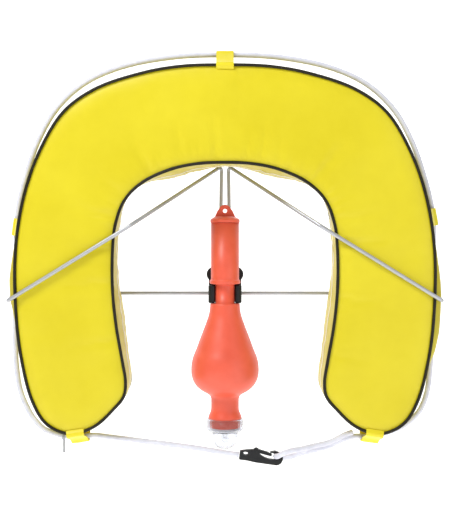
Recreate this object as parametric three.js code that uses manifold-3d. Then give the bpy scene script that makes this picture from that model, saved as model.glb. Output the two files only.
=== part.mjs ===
// Horseshoe lifebuoy on its stainless wire rack, with a grab line, a snap hook and an inverting rescue light.
// Millimetres, +Z up, the front faces -Y. The origin is the centre of the rack clamp's flat rear face.
import * as THREE from 'three';
import { mergeVertices } from 'three/addons/utils/BufferGeometryUtils.js';
import Module from 'manifold-3d';

const wasm = await Module();
wasm.setup();

// Driving dimensions.
const GAP = 0.3;                 // running gap between neighbours
const BUOY_Z = 57;               // height of the buoy's own datum above the clamp's centre
const BUOY_THICK = 110;          // front panel face to back panel face
const BUOY_BACK_Y = -29;         // back panel's outer face
const COVER = 1.5;               // cover fabric, as a solid
const PIPING_R = 2.6;
const PIPING_OUT = 2.4;          // piping centre, out from the panel's edge and proud of its face
const ROPE_R = 4;
const ROPE_DEPTH = 32;           // rope's centre behind the front panel's face
const WIRE_R = 3;                // rack rod, 6 mm
const WIRE_BACK_Y = -20;         // rod centre behind the buoy
const BEND_R = 7;                // rod's bend radius
const RACK_Z = -72;              // height of the rack's bar, in the buoy's datum
const LIGHT_Y = -57.5;           // axis of the rescue light
const NECK_R = 16;               // groove in the light that the fork holds
const NECK_TOP = -56;
const NECK_BOTTOM = -87;
const WALL = 3;                  // moulded wall of the light
const HOOK_THICK = 8;

const FRONT_Y = BUOY_BACK_Y - BUOY_THICK;
const ROPE_Y = FRONT_Y + ROPE_DEPTH;
const WIRE_FRONT_Y = FRONT_Y - PIPING_OUT - PIPING_R - WIRE_R - 0.6;

const finishes = {
  coverYellow: { color: 0xeedc1e, roughness: 0.45, metalness: 0 },
  pipingBlack: { color: 0x2b2a20, roughness: 0.5, metalness: 0 },
  foamWhite: { color: 0xe9e9e4, roughness: 0.9, metalness: 0 },
  ropeWhite: { color: 0xf1f0f4, roughness: 0.8, metalness: 0 },
  plasticBlack: { color: 0x2a2d30, roughness: 0.45, metalness: 0 },
  steel: { color: 0xb9b6b0, roughness: 0.25, metalness: 1 },
  orange: { color: 0xf0624a, roughness: 0.4, metalness: 0 },
  clear: { color: 0xdfe4ee, roughness: 0.08, metalness: 0 },
  glass: { color: 0xf4f6f8, roughness: 0.03, metalness: 0 },
  rubber: { color: 0x1d1d1d, roughness: 0.7, metalness: 0 },
  cell: { color: 0x8f8a7a, roughness: 0.35, metalness: 0.6 },
  brass: { color: 0xc8a656, roughness: 0.3, metalness: 1 },
  white: { color: 0xe6e6e6, roughness: 0.4, metalness: 0 },
  greyTie: { color: 0xa9aab4, roughness: 0.5, metalness: 0 },
};

const part = new THREE.Group();
const buoy = new THREE.Group();
buoy.position.z = BUOY_Z;
const light = new THREE.Group();
light.position.set(0, LIGHT_Y, BUOY_Z);
part.add(buoy, light);

function place(parent, name, geometry, finish) {
  const mesh = new THREE.Mesh(geometry, new THREE.MeshStandardMaterial(finishes[finish]));
  mesh.name = name;
  parent.add(mesh);
  return mesh;
}

// Joining and cutting.
function toSolid(geometry) {
  const bare = geometry.clone();
  bare.deleteAttribute('normal');
  bare.deleteAttribute('uv');
  const merged = mergeVertices(bare, 1e-4);
  const mesh = new wasm.Mesh({
    numProp: 3,
    vertProperties: new Float32Array(merged.attributes.position.array),
    triVerts: new Uint32Array(merged.index.array),
  });
  mesh.merge();
  return new wasm.Manifold(mesh);
}

function toGeometry(solid) {
  const mesh = solid.getMesh();
  const geometry = new THREE.BufferGeometry();
  geometry.setAttribute('position', new THREE.BufferAttribute(new Float32Array(mesh.vertProperties), 3));
  geometry.setIndex(new THREE.BufferAttribute(new Uint32Array(mesh.triVerts), 1));
  return geometry;
}

function cut(geometry, tools) {
  return toGeometry(tools.reduce((solid, tool) => solid.subtract(toSolid(tool)), toSolid(geometry)));
}

function join(first, ...others) {
  return toGeometry(others.reduce((solid, other) => solid.add(toSolid(other)), toSolid(first)));
}

// Shapes.
function shapeOf(points) {
  return new THREE.Shape(points.map((p) => new THREE.Vector2(p.x, p.y)));
}

// A flat outline given in (x, z), as a slab from yBack towards the front.
function slab(shape, yBack, depth, steps = 1) {
  const options = { depth, steps, bevelEnabled: false, curveSegments: 8 };
  const geometry = new THREE.ExtrudeGeometry(shape, options);
  geometry.rotateX(Math.PI / 2);
  geometry.translate(0, yBack, 0);
  return geometry;
}

function polygon(radius, sides) {
  const points = [];
  for (let i = 0; i < sides; i += 1) {
    const angle = (i / sides) * 2 * Math.PI;
    points.push(new THREE.Vector2(radius * Math.cos(angle), radius * Math.sin(angle)));
  }
  return new THREE.Shape(points);
}

function tube(curve, radius, steps, sides) {
  const options = { steps, bevelEnabled: false, extrudePath: curve };
  return new THREE.ExtrudeGeometry(polygon(radius, sides), options);
}

function smooth(points) {
  return new THREE.CatmullRomCurve3(points.map((p) => new THREE.Vector3(...p)), false, 'centripetal');
}

// A path through listed points, whose rings stand on those points alone.
class StepPath extends THREE.Curve {
  constructor(points) {
    super();
    this.points = points;
  }

  getPoint(t) {
    const s = t * (this.points.length - 1);
    const i = Math.min(Math.floor(s + 1e-9), this.points.length - 2);
    return this.points[i].clone().lerp(this.points[i + 1], s - i);
  }

  getPointAt(t) {
    return this.getPoint(t);
  }

  getTangentAt(t) {
    const i = Math.round(t * (this.points.length - 1));
    const before = this.points[Math.max(i - 1, 0)];
    const after = this.points[Math.min(i + 1, this.points.length - 1)];
    const arriving = this.points[i].clone().sub(before).normalize();
    const leaving = after.clone().sub(this.points[i]).normalize();
    return arriving.add(leaving).normalize();
  }
}

// A round rod with straight runs between its corners, and each inner corner rounded.
function rod(corners) {
  const at = corners.map((p) => new THREE.Vector3(...p));
  const points = [at[0]];
  for (let i = 1; i < at.length - 1; i += 1) {
    const back = at[i - 1].clone().sub(at[i]).normalize();
    const onwards = at[i + 1].clone().sub(at[i]).normalize();
    const setback = BEND_R / Math.tan(back.angleTo(onwards) / 2);
    const enter = at[i].clone().addScaledVector(back, setback);
    const leave = at[i].clone().addScaledVector(onwards, setback);
    const bend = new THREE.QuadraticBezierCurve3(enter, at[i], leave);
    points.push(...bend.getPoints(4));
  }
  points.push(at[at.length - 1]);
  return tube(new StepPath(points), WIRE_R, points.length - 1, 8);
}

// A closed profile of (radius, height) pairs, turned about the vertical axis.
function lathe(profile, segments = 24) {
  const geometry = new THREE.LatheGeometry(profile.map(([r, z]) => new THREE.Vector2(r, z)), segments);
  geometry.rotateX(Math.PI / 2);
  return outward(geometry);
}

function outward(geometry) {
  const at = geometry.attributes.position;
  const index = geometry.index;
  const corner = (k) => new THREE.Vector3().fromBufferAttribute(at, index.getX(k));
  let volume = 0;
  for (let k = 0; k < index.count; k += 3) volume += corner(k).dot(corner(k + 1).cross(corner(k + 2)));
  if (volume < 0) index.array.reverse();
  return geometry;
}

// The buoy's outline: one closed horseshoe, given by its right half from the top centre, clockwise.
// Points are (x, height) along the piping.
const HALF_OUTLINE = [
  [0, 283], [66, 281], [125, 271], [199, 246], [247, 211], [283, 152], [307, 84], [320, 4],
  [320, -88], [312, -162], [293, -232], [268, -264], [233, -280], [200, -270], [171, -244],
  [155, -224], [152, -203], [157, -170], [166, -118], [172, -60], [172, 0], [168, 38],
  [154, 76], [127, 103], [84, 123], [42, 132], [0, 134],
];
const OUTLINE_STEPS = 76;

const outlineCurve = new THREE.CatmullRomCurve3([
  ...HALF_OUTLINE.map(([x, z]) => new THREE.Vector3(x, 0, z)),
  ...HALF_OUTLINE.slice(1, -1).reverse().map(([x, z]) => new THREE.Vector3(-x, 0, z)),
], true, 'centripetal');

// A point of the outline, the direction along it and the direction out of the buoy.
function outlineFrame(t) {
  const at = outlineCurve.getPointAt(t);
  const along = outlineCurve.getTangentAt(t);
  return { at, along, out: new THREE.Vector3(-along.z, 0, along.x) };
}

function outlineShape(outwardBy) {
  const points = [];
  for (let i = 0; i < OUTLINE_STEPS; i += 1) {
    const { at, out } = outlineFrame(i / OUTLINE_STEPS);
    at.addScaledVector(out, outwardBy);
    points.push(new THREE.Vector2(at.x, at.z));
  }
  return new THREE.Shape(points);
}

// The mouth is wider behind than in front at its two top corners and a little at its top: this moves a
// point outwards there, the more the further back it stands.
const LEANS = [
  { x: 146, z: 88, dx: 11, dz: 9, reach: 52 },
  { x: 0, z: 134, dx: 0, dz: 8, reach: 60 },
  { x: -146, z: 88, dx: -11, dz: 9, reach: 52 },
  { x: 174, z: -20, dx: 9, dz: 0, reach: 62 },
  { x: -174, z: -20, dx: -9, dz: 0, reach: 62 },
  { x: 156, z: -178, dx: 6.5, dz: 0, reach: 62 },
  { x: -156, z: -178, dx: -6.5, dz: 0, reach: 62 },
];

function leanBy(x, y, z) {
  const share = (y - FRONT_Y) / BUOY_THICK;
  const moved = { x, z };
  for (const lean of LEANS) {
    const weight = share * Math.exp(-(((x - lean.x) ** 2 + (z - lean.z) ** 2) / lean.reach ** 2));
    moved.x += weight * lean.dx;
    moved.z += weight * lean.dz;
  }
  return moved;
}

function leant(geometry) {
  const at = geometry.attributes.position;
  for (let i = 0; i < at.count; i += 1) {
    const moved = leanBy(at.getX(i), at.getY(i), at.getZ(i));
    at.setX(i, moved.x);
    at.setZ(i, moved.z);
  }
  return geometry;
}

// The foam, its cover and the piping in the cover's two seams.
const PANEL_EDGE = -PIPING_OUT;
const FOAM_EDGE = PANEL_EDGE - COVER - GAP;
const FOAM_THICK = (BUOY_THICK - 2 * COVER - 3 * GAP) / 2;

place(buoy, 'front_panel', leant(slab(outlineShape(PANEL_EDGE), FRONT_Y + COVER, COVER)), 'coverYellow');
place(buoy, 'back_panel', leant(slab(outlineShape(PANEL_EDGE), BUOY_BACK_Y, COVER)), 'coverYellow');
const BAND_BACK_Y = BUOY_BACK_Y - COVER - GAP;
const BAND_WIDE = BUOY_THICK - 2 * (COVER + GAP);
place(buoy, 'side_band', cut(
  leant(slab(outlineShape(PANEL_EDGE), BAND_BACK_Y, BAND_WIDE, 2)),
  [leant(slab(outlineShape(PANEL_EDGE - COVER), BAND_BACK_Y + 1, BAND_WIDE + 2, 2))],
), 'coverYellow');
const FOAM_FRONT_Y = FRONT_Y + COVER + GAP;
const foamLayer = (yBack) => leant(slab(outlineShape(FOAM_EDGE), yBack, FOAM_THICK));
place(buoy, 'foam_front', foamLayer(FOAM_FRONT_Y + FOAM_THICK), 'foamWhite');
place(buoy, 'foam_back', foamLayer(BAND_BACK_Y), 'foamWhite');

// The piping runs once round each panel, from a butt joint at the bottom of the left leg.
const PIPING_START = 52;
const BUTT_JOINT = 0.04;

function piping(y) {
  const points = [];
  for (let i = 0; i <= OUTLINE_STEPS; i += 1) {
    const step = i < OUTLINE_STEPS ? i : i - BUTT_JOINT;
    const { at } = outlineFrame(((PIPING_START + step) / OUTLINE_STEPS) % 1);
    const moved = leanBy(at.x, y, at.z);
    points.push(new THREE.Vector3(moved.x, y, moved.z));
  }
  return outward(indexed(tube(new StepPath(points), PIPING_R, OUTLINE_STEPS, 6)));
}

function indexed(geometry) {
  geometry.deleteAttribute('normal');
  geometry.deleteAttribute('uv');
  return mergeVertices(geometry, 1e-4);
}

place(buoy, 'front_piping', piping(FRONT_Y - PIPING_OUT), 'pipingBlack');
place(buoy, 'back_piping', piping(BUOY_BACK_Y + PIPING_OUT), 'pipingBlack');

// A rope tab: a strap from the front panel, over the piping and the rope, down to the side band. The
// two tabs at the sides start behind the piping instead.
const STRAP = 1.5;
const STRAP_WIDE = 27;

const OVER_PIPING = [[-9.4, -1.2], [-7.8, -4.2], [-5, -7.5], [0, -8.7], [4.8, -6.8]];
const BEHIND_PIPING = [[-1.2, 3], [0.2, 8]];

function ropeTab(share, ropeOut, front) {
  const reach = ropeOut + ROPE_R + GAP + STRAP / 2 + 0.6;
  const line = new THREE.SplineCurve([
    ...front, [ropeOut, ROPE_DEPTH - 12],
    [reach, ROPE_DEPTH - 3], [reach, ROPE_DEPTH + 3], [ropeOut - 1, ROPE_DEPTH + 11],
    [1, 60], [-1.2, 68], [-1.2, 80],
  ].map((p) => new THREE.Vector2(...p)));
  const count = 30;
  const sides = [[], []];
  for (let i = 0; i <= count; i += 1) {
    const p = line.getPoint(i / count);
    const along = line.getTangent(i / count);
    const across = new THREE.Vector2(-along.y, along.x).multiplyScalar(STRAP / 2);
    sides[0].push(p.clone().add(across));
    sides[1].push(p.clone().sub(across));
  }
  const geometry = new THREE.ExtrudeGeometry(shapeOf([...sides[0], ...sides[1].reverse()]),
    { depth: STRAP_WIDE, bevelEnabled: false });
  geometry.translate(0, 0, -STRAP_WIDE / 2);
  const { at, along, out } = outlineFrame(share);
  const back = new THREE.Vector3(0, 1, 0);
  const turn = new THREE.Matrix4().makeBasis(out, back, along.clone().negate());
  if (turn.determinant() < 0) turn.makeBasis(out, back, along);
  turn.setPosition(at.x, FRONT_Y, at.z);
  geometry.applyMatrix4(turn);
  return outward(indexed(geometry));
}

// Where each tab stands, as a share of the outline's length, and how far out it holds the rope.
const outlineShareNear = (x, z) => {
  const count = 2000;
  let best = 0;
  let nearest = Infinity;
  for (let i = 0; i < count; i += 1) {
    const at = outlineCurve.getPointAt(i / count);
    const away = Math.hypot(at.x - x, at.z - z);
    if (away < nearest) {
      nearest = away;
      best = i / count;
    }
  }
  return best;
};

place(buoy, 'rope_tab_top', ropeTab(outlineShareNear(0, 283), 23, OVER_PIPING), 'coverYellow');
place(buoy, 'rope_tab_right', ropeTab(outlineShareNear(315, 52), 12, BEHIND_PIPING), 'coverYellow');
place(buoy, 'rope_tab_left', ropeTab(outlineShareNear(-317, 36), 10, BEHIND_PIPING), 'coverYellow');
place(buoy, 'rope_tab_lower_right', ropeTab(outlineShareNear(228, -280), 15, OVER_PIPING), 'coverYellow');
place(buoy, 'rope_tab_lower_left', ropeTab(outlineShareNear(-228, -280), 15, OVER_PIPING), 'coverYellow');

// The snap hook, in its own plane: a socket for the line, a shank, a bow with a nose, and a sprung gate.
const HOOK_AT = [22, -318];
const HOOK_TILT = -0.12;
const HOOK_Y = FRONT_Y + 18;
const BOW = { x: 57.3, z: 2, radius: 10.6 };
const THROAT = { x: 56.4, z: 4.9, radius: 5 };
const PIVOT = { x: 25.6, z: 9.8, radius: 3.6 };

const hook = new THREE.Group();
hook.position.set(HOOK_AT[0], HOOK_Y, HOOK_AT[1]);
hook.rotation.y = -HOOK_TILT;
buoy.add(hook);

// The gate turns on a pin between two cheeks of the body.
const CHEEK = 0.7;

function cheek(yBack) {
  const shape = new THREE.Shape();
  shape.moveTo(19, 3);
  shape.lineTo(33, 3);
  shape.lineTo(31.6, 6);
  shape.absarc(PIVOT.x, PIVOT.z, PIVOT.radius + 0.8, 0, 0.85 * Math.PI, false);
  shape.lineTo(19, 9);
  shape.closePath();
  return slab(shape, yBack, CHEEK);
}

function hookBody() {
  const shape = new THREE.Shape();
  shape.moveTo(0.4, -6.4);
  shape.lineTo(13.5, -6.4);
  shape.lineTo(26, -7.8);
  shape.lineTo(54, -8.4);
  shape.absarc(BOW.x, BOW.z, BOW.radius, -0.45 * Math.PI, 0.34 * Math.PI, false);
  shape.lineTo(54.5, 13.2);
  shape.lineTo(46.6, 10.9);
  shape.lineTo(46.8, 10.2);
  shape.lineTo(52.8, 9.3);
  shape.absarc(THROAT.x, THROAT.z, THROAT.radius, 0.68 * Math.PI, -0.5 * Math.PI, true);
  shape.lineTo(46, 0);
  shape.quadraticCurveTo(36, 0.6, 32, 5.2);
  shape.lineTo(21.6, 5.2);
  shape.lineTo(21.6, 12);
  shape.lineTo(11.6, 9.9);
  shape.lineTo(0.4, 7.2);
  shape.closePath();
  const eye = new THREE.CylinderGeometry(2.4, 2.4, HOOK_THICK * 2, 12);
  eye.scale(1.6, 1, 1);
  eye.translate(9.6, 0, 4.4);
  const body = cut(slab(shape, HOOK_THICK / 2, HOOK_THICK), [eye]);
  return join(body, cheek(HOOK_THICK / 2), cheek(CHEEK - HOOK_THICK / 2));
}

// The gate turns at its left end, above the shank, and its tip closes against the underside of the nose.
function hookGate() {
  const shape = new THREE.Shape();
  shape.moveTo(PIVOT.x + 1.6, PIVOT.z - 3.2);
  shape.lineTo(31, 6.8);
  shape.lineTo(44, 4.9);
  shape.lineTo(50.2, 4.2);
  shape.lineTo(50.2, 8.2);
  shape.lineTo(46, 9);
  shape.lineTo(44.6, 10);
  shape.lineTo(32.1, 12.2);
  shape.absarc(PIVOT.x, PIVOT.z, PIVOT.radius, 0.4 * Math.PI, 1.5 * Math.PI, false);
  shape.closePath();
  return slab(shape, HOOK_THICK / 2 - 1, HOOK_THICK - 2);
}

place(hook, 'snap_hook_body', hookBody(), 'plasticBlack');
place(hook, 'snap_hook_gate', hookGate(), 'plasticBlack');

// The grab line. From the hook it goes through the lower left tab, round the buoy, and back to the
// lower right tab.
const ROPE_ROUTE = [
  [21.6, HOOK_Y, -317.6], [0, HOOK_Y, -314.5], [-40, HOOK_Y, -308], [-90, HOOK_Y + 2, -301.5],
  [-140, HOOK_Y + 7, -296.5], [-180, ROPE_Y - 3, -292.5], [-206, ROPE_Y, -290.5], [-224, ROPE_Y, -292.5],
  [-245, ROPE_Y, -292.5], [-266, ROPE_Y, -288], [-285, ROPE_Y, -279.5], [-299, ROPE_Y, -265],
  [-308.5, ROPE_Y, -250], [-320.5, ROPE_Y, -221], [-326, ROPE_Y, -190], [-328.6, ROPE_Y, -155],
  [-329, ROPE_Y, -112], [-327.6, ROPE_Y, -72], [-327, ROPE_Y, -15],
  [-327, ROPE_Y, 36], [-323, ROPE_Y, 72], [-312, ROPE_Y, 116], [-293, ROPE_Y, 170], [-264, ROPE_Y, 221],
  [-222, ROPE_Y, 260], [-165, ROPE_Y, 286], [-85, ROPE_Y, 302], [0, ROPE_Y, 306], [85, ROPE_Y, 302],
  [165, ROPE_Y, 286], [222, ROPE_Y, 260], [264, ROPE_Y, 221], [293, ROPE_Y, 170], [312, ROPE_Y, 116],
  [323, ROPE_Y, 72], [327, ROPE_Y, 36], [325, ROPE_Y, -15], [325, ROPE_Y, -72], [324, ROPE_Y, -130],
  [321.6, ROPE_Y, -184], [317, ROPE_Y, -221], [311, ROPE_Y, -240], [302, ROPE_Y, -256],
  [279, ROPE_Y, -276], [254, ROPE_Y, -286], [224, ROPE_Y, -292.5], [205.8, ROPE_Y - 1, -291.6],
];
const rope = smooth(ROPE_ROUTE);
place(buoy, 'grab_line', outward(indexed(tube(rope, ROPE_R, 80, 8))), 'ropeWhite');

// A tie round the line beside the lower left tab: a band with its tail hanging straight down.
const TIE_X = -248;
const TIE_WIDE = 3.6;
const TIE_THICK = 1.3;
const TIE_TAIL = 21;
const UP_Y = new THREE.Vector3(0, 1, 0);

function ropeTie() {
  const share = [...Array(400).keys()].map((i) => i / 400).find((t) => rope.getPointAt(t).x < TIE_X);
  const at = rope.getPointAt(share);
  const inner = ROPE_R + 3 * GAP;
  const band = (radius, wide) => {
    const round = new THREE.CylinderGeometry(radius, radius, wide, 16);
    round.applyQuaternion(new THREE.Quaternion().setFromUnitVectors(UP_Y, rope.getTangentAt(share)));
    return round.translate(at.x, at.y, at.z);
  };
  const tail = new THREE.BoxGeometry(TIE_WIDE - 0.6, TIE_THICK, TIE_TAIL);
  tail.translate(at.x, at.y, at.z - inner - TIE_TAIL / 2);
  return cut(join(band(inner + TIE_THICK, TIE_WIDE), tail), [band(inner, 2 * TIE_WIDE)]);
}
place(buoy, 'rope_tie', ropeTie(), 'greyTie');

// The line's end: it goes behind the hook's bow, through the throat, and back along itself to its cut end.
const EYE_ROUTE = [
  [204.4, ROPE_Y - 1, -291.6], [187, HOOK_Y + 10, -294.7], [163, HOOK_Y + 9, -305.6],
  [135, HOOK_Y + 8, -313.4], [116, HOOK_Y + 9.5, -318.4], [102, HOOK_Y + 13, -324],
  [91, HOOK_Y + 15, -325.6], [82.4, HOOK_Y + 11.5, -322.4], [78.4, HOOK_Y, -319.8],
  [81.6, HOOK_Y - 11.5, -317], [90, HOOK_Y - 15, -311.6], [103, HOOK_Y - 12.5, -308.2],
  [117, HOOK_Y - 7, -307], [135, HOOK_Y - 1, -304.4], [163, HOOK_Y + 2.4, -298.6],
  [187, HOOK_Y + 4.6, -287.6], [199, HOOK_Y + 5.6, -283.6],
];
place(buoy, 'line_eye', outward(indexed(tube(smooth(EYE_ROUTE), ROPE_R, 44, 8))), 'ropeWhite');

// The rack: one 6 mm rod, given in its straight and bent lengths, whose ends meet face to face.
const UPRIGHT_FOOT = [8.5, WIRE_BACK_Y, -50];
const UPRIGHT_HEAD = [6.2, WIRE_BACK_Y, 110];
const RACK_TOP = [5.8, WIRE_BACK_Y, 139.8];
const RACK_ELBOW = [145, WIRE_FRONT_Y, 36.8];
const RACK_FRONT_CORNER = [330, WIRE_FRONT_Y, -77];
const RACK_BACK_CORNER = [352, WIRE_BACK_Y, RACK_Z];
const RACK_BAR_END = 318;

const rack = new THREE.Group();
rack.position.z = BUOY_Z;
part.add(rack);

function shortOf(from, to, distance) {
  const a = new THREE.Vector3(...from);
  const b = new THREE.Vector3(...to);
  return b.clone().addScaledVector(a.sub(b).normalize(), distance).toArray();
}

const SIDE_LONG = 16;            // a side's length along the arm, ahead of its front bend

for (const [side, sign] of [['left', -1], ['right', 1]]) {
  const mirror = (p) => [p[0] * sign, p[1], p[2]];
  const sideStart = shortOf(RACK_ELBOW, RACK_FRONT_CORNER, SIDE_LONG);
  const armStart = shortOf(RACK_TOP, UPRIGHT_HEAD, GAP);
  const armEnd = shortOf(RACK_ELBOW, RACK_FRONT_CORNER, SIDE_LONG + GAP);
  const arm = [armStart, RACK_TOP, RACK_ELBOW, armEnd];
  const turn = [sideStart, RACK_FRONT_CORNER, RACK_BACK_CORNER, [RACK_BAR_END, WIRE_BACK_Y, RACK_Z]];
  place(rack, `rack_upright_${side}`, rod([UPRIGHT_FOOT, UPRIGHT_HEAD].map(mirror)), 'steel');
  place(rack, `rack_arm_${side}`, rod(arm.map(mirror)), 'steel');
  place(rack, `rack_side_${side}`, rod(turn.map(mirror)), 'steel');
}
const BAR_HALF = RACK_BAR_END - GAP;
place(rack, 'rack_bar', rod([[-BAR_HALF, WIRE_BACK_Y, RACK_Z], [BAR_HALF, WIRE_BACK_Y, RACK_Z]]), 'steel');

// The rack clamp: two black halves round the rods, with the light's fork on the front half.
const CLAMP_TOP = -28;
const CLAMP_BOTTOM = -86;
const LOBE_HALF = 30.5;
const LOBE_R = 12;
const CLAMP_HALF = 27;
const CLAMP_FRONT_Y = -32;
const FORK_TIP_Y = LIGHT_Y - 9;
const FORK_OUT = 27;
const GROOVE_R = WIRE_R + GAP;
const SCREW_HEIGHTS = { upper: -39, lower: -80 };
const SCREW_HEAD_R = 4.5;
const SCREW_R = 2;

function clampShape() {
  const shape = new THREE.Shape();
  shape.moveTo(-CLAMP_HALF, CLAMP_BOTTOM + 4);
  shape.quadraticCurveTo(-CLAMP_HALF, CLAMP_BOTTOM, -CLAMP_HALF + 4, CLAMP_BOTTOM);
  shape.lineTo(CLAMP_HALF - 4, CLAMP_BOTTOM);
  shape.quadraticCurveTo(CLAMP_HALF, CLAMP_BOTTOM, CLAMP_HALF, CLAMP_BOTTOM + 4);
  shape.lineTo(CLAMP_HALF, CLAMP_TOP - 2 * LOBE_R);
  shape.absarc(LOBE_HALF - LOBE_R, CLAMP_TOP - LOBE_R, LOBE_R, -0.25 * Math.PI, 0.5 * Math.PI, false);
  shape.absarc(-LOBE_HALF + LOBE_R, CLAMP_TOP - LOBE_R, LOBE_R, 0.5 * Math.PI, 1.25 * Math.PI, false);
  shape.lineTo(-CLAMP_HALF, CLAMP_TOP - 2 * LOBE_R);
  shape.closePath();
  return shape;
}

// Straight cutters where the rods pass, a gap wider than the rods themselves.
function rodGrooves() {
  const bar = new THREE.CylinderGeometry(GROOVE_R, GROOVE_R, 4 * LOBE_HALF, 12);
  bar.rotateZ(Math.PI / 2);
  bar.translate(0, WIRE_BACK_Y, RACK_Z);
  const cutters = [bar];
  for (const sign of [-1, 1]) {
    const foot = new THREE.Vector3(...UPRIGHT_FOOT);
    const head = new THREE.Vector3(...UPRIGHT_HEAD);
    foot.x *= sign;
    head.x *= sign;
    const upright = new THREE.CylinderGeometry(GROOVE_R, GROOVE_R, foot.distanceTo(head) + 4, 12);
    const along = head.clone().sub(foot).normalize();
    upright.applyQuaternion(new THREE.Quaternion().setFromUnitVectors(UP_Y, along));
    const middle = foot.clone().add(head).multiplyScalar(0.5);
    upright.translate(middle.x, middle.y, middle.z);
    cutters.push(upright);
  }
  return cutters;
}

function screwHole(height, radius, yFrom, yTo) {
  const hole = new THREE.CylinderGeometry(radius, radius, yTo - yFrom, 12);
  hole.translate(0, (yFrom + yTo) / 2, height);
  return hole;
}

const SCREW_TIP_Y = -8;
const SCREW_HEAD_DEEP = 3.5;
const screwHeights = Object.values(SCREW_HEIGHTS);

function clampFront() {
  const block = slab(clampShape(), WIRE_BACK_Y - GAP / 2, WIRE_BACK_Y - GAP / 2 - CLAMP_FRONT_Y);
  const cutters = rodGrooves();
  for (const height of screwHeights) {
    cutters.push(screwHole(height, SCREW_R + GAP, CLAMP_FRONT_Y - 1, WIRE_BACK_Y + 1));
    const seatY = CLAMP_FRONT_Y + SCREW_HEAD_DEEP + GAP;
    cutters.push(screwHole(height, SCREW_HEAD_R + GAP, CLAMP_FRONT_Y - 1, seatY));
  }
  const jaws = [-1, 1].map((sign) => {
    const inner = NECK_R + GAP;
    const section = new THREE.Shape();
    section.moveTo(sign * inner, CLAMP_FRONT_Y + 1);
    section.lineTo(sign * FORK_OUT, CLAMP_FRONT_Y + 1);
    section.lineTo(sign * FORK_OUT, FORK_TIP_Y + 5);
    section.quadraticCurveTo(sign * FORK_OUT, FORK_TIP_Y, sign * (FORK_OUT - 5), FORK_TIP_Y);
    section.lineTo(sign * (inner + 1.5), FORK_TIP_Y);
    section.quadraticCurveTo(sign * inner, FORK_TIP_Y, sign * inner, FORK_TIP_Y + 1.5);
    section.closePath();
    const height = NECK_TOP - 1 - (NECK_BOTTOM + 1);
    const jaw = new THREE.ExtrudeGeometry(section, { depth: height, bevelEnabled: false, curveSegments: 4 });
    jaw.translate(0, 0, NECK_BOTTOM + 1);
    return jaw;
  });
  return cut(join(block, ...jaws), cutters);
}

function clampBack() {
  const block = slab(clampShape(), 0, -(WIRE_BACK_Y + GAP / 2));
  const cutters = rodGrooves();
  for (const height of screwHeights) {
    cutters.push(screwHole(height, SCREW_R + GAP, WIRE_BACK_Y - 1, SCREW_TIP_Y + GAP));
  }
  return cut(block, cutters);
}

place(rack, 'clamp_front', clampFront(), 'plasticBlack');
place(rack, 'clamp_back', clampBack(), 'plasticBlack');
for (const [name, height] of Object.entries(SCREW_HEIGHTS)) {
  const head = new THREE.CylinderGeometry(SCREW_HEAD_R, SCREW_HEAD_R, SCREW_HEAD_DEEP, 12);
  head.translate(0, CLAMP_FRONT_Y + SCREW_HEAD_DEEP / 2, height);
  const shaft = screwHole(height, SCREW_R, CLAMP_FRONT_Y + 1, SCREW_TIP_Y);
  place(rack, `clamp_screw_${name}`, join(head, shaft), 'steel');
}

// The light: an orange moulded float, widest low down, with a groove for the fork and an open neck at
// each end.
const TUBE_R = 22.8;
const CAP_Z = 44;
const FLOAT_FOOT = -287;
place(light, 'float_body', lathe([
  [TUBE_R, CAP_Z], [TUBE_R, -49], [24.6, -50.5], [24.6, -54.5], [NECK_R, NECK_TOP], [NECK_R, NECK_BOTTOM],
  [23.8, NECK_BOTTOM], [26, -104], [32.7, -123.7], [39.7, -142], [46.7, -161], [52.2, -175], [54.8, -190],
  [53.7, -206], [48.1, -218], [38.7, -227], [27.6, -233.6], [22.6, -238.4], [22.6, -260], [26.6, -269],
  [27, -273], [24, -273.3], [24, FLOAT_FOOT], [20, FLOAT_FOOT], [20, -236], [36, -223], [50, -204],
  [50, -184], [36, -142], [23, -104], [20.5, -92], [NECK_R - 2.3, -90], [NECK_R - 2.3, -53],
  [TUBE_R - WALL, -47], [TUBE_R - WALL, CAP_Z], [TUBE_R, CAP_Z],
]), 'orange');

// The end cap, with the hanging lug across it and a plug that carries the seal.
const LUG_THICK = 5;
const LUG_HOLE = 63.5;
function endCap() {
  const cup = lathe([
    [0, 54], [17, 54], [23, 50], [23.5, 48.5], [23.5, CAP_Z + GAP], [TUBE_R - WALL - GAP, CAP_Z + GAP],
    [TUBE_R - WALL - GAP, 41], [18, 41], [18, 37], [TUBE_R - WALL - GAP, 37], [TUBE_R - WALL - GAP, 33],
    [16.5, 33], [16.5, 46], [0, 46],
  ]);
  const outline = new THREE.Shape();
  outline.moveTo(-17.6, 52);
  outline.lineTo(17.6, 52);
  outline.lineTo(12.4, 63.3);
  outline.absarc(0, LUG_HOLE, 10, 0.25 * Math.PI, 0.75 * Math.PI, false);
  outline.lineTo(-12.4, 63.3);
  outline.closePath();
  const lug = slab(outline, LUG_THICK / 2, LUG_THICK);
  const hole = new THREE.CylinderGeometry(3.4, 3.4, 3 * LUG_THICK, 12);
  hole.translate(0, 0, LUG_HOLE);
  return cut(join(cup, lug), [hole]);
}
place(light, 'end_cap', endCap(), 'orange');

function ring(inner, outer, low, high, segments = 24) {
  return lathe([[inner, low], [outer, low], [outer, high], [inner, high], [inner, low]], segments);
}

place(light, 'end_cap_seal', ring(18.3, 19.4, 37.4, 40.6, 24), 'rubber');

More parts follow.
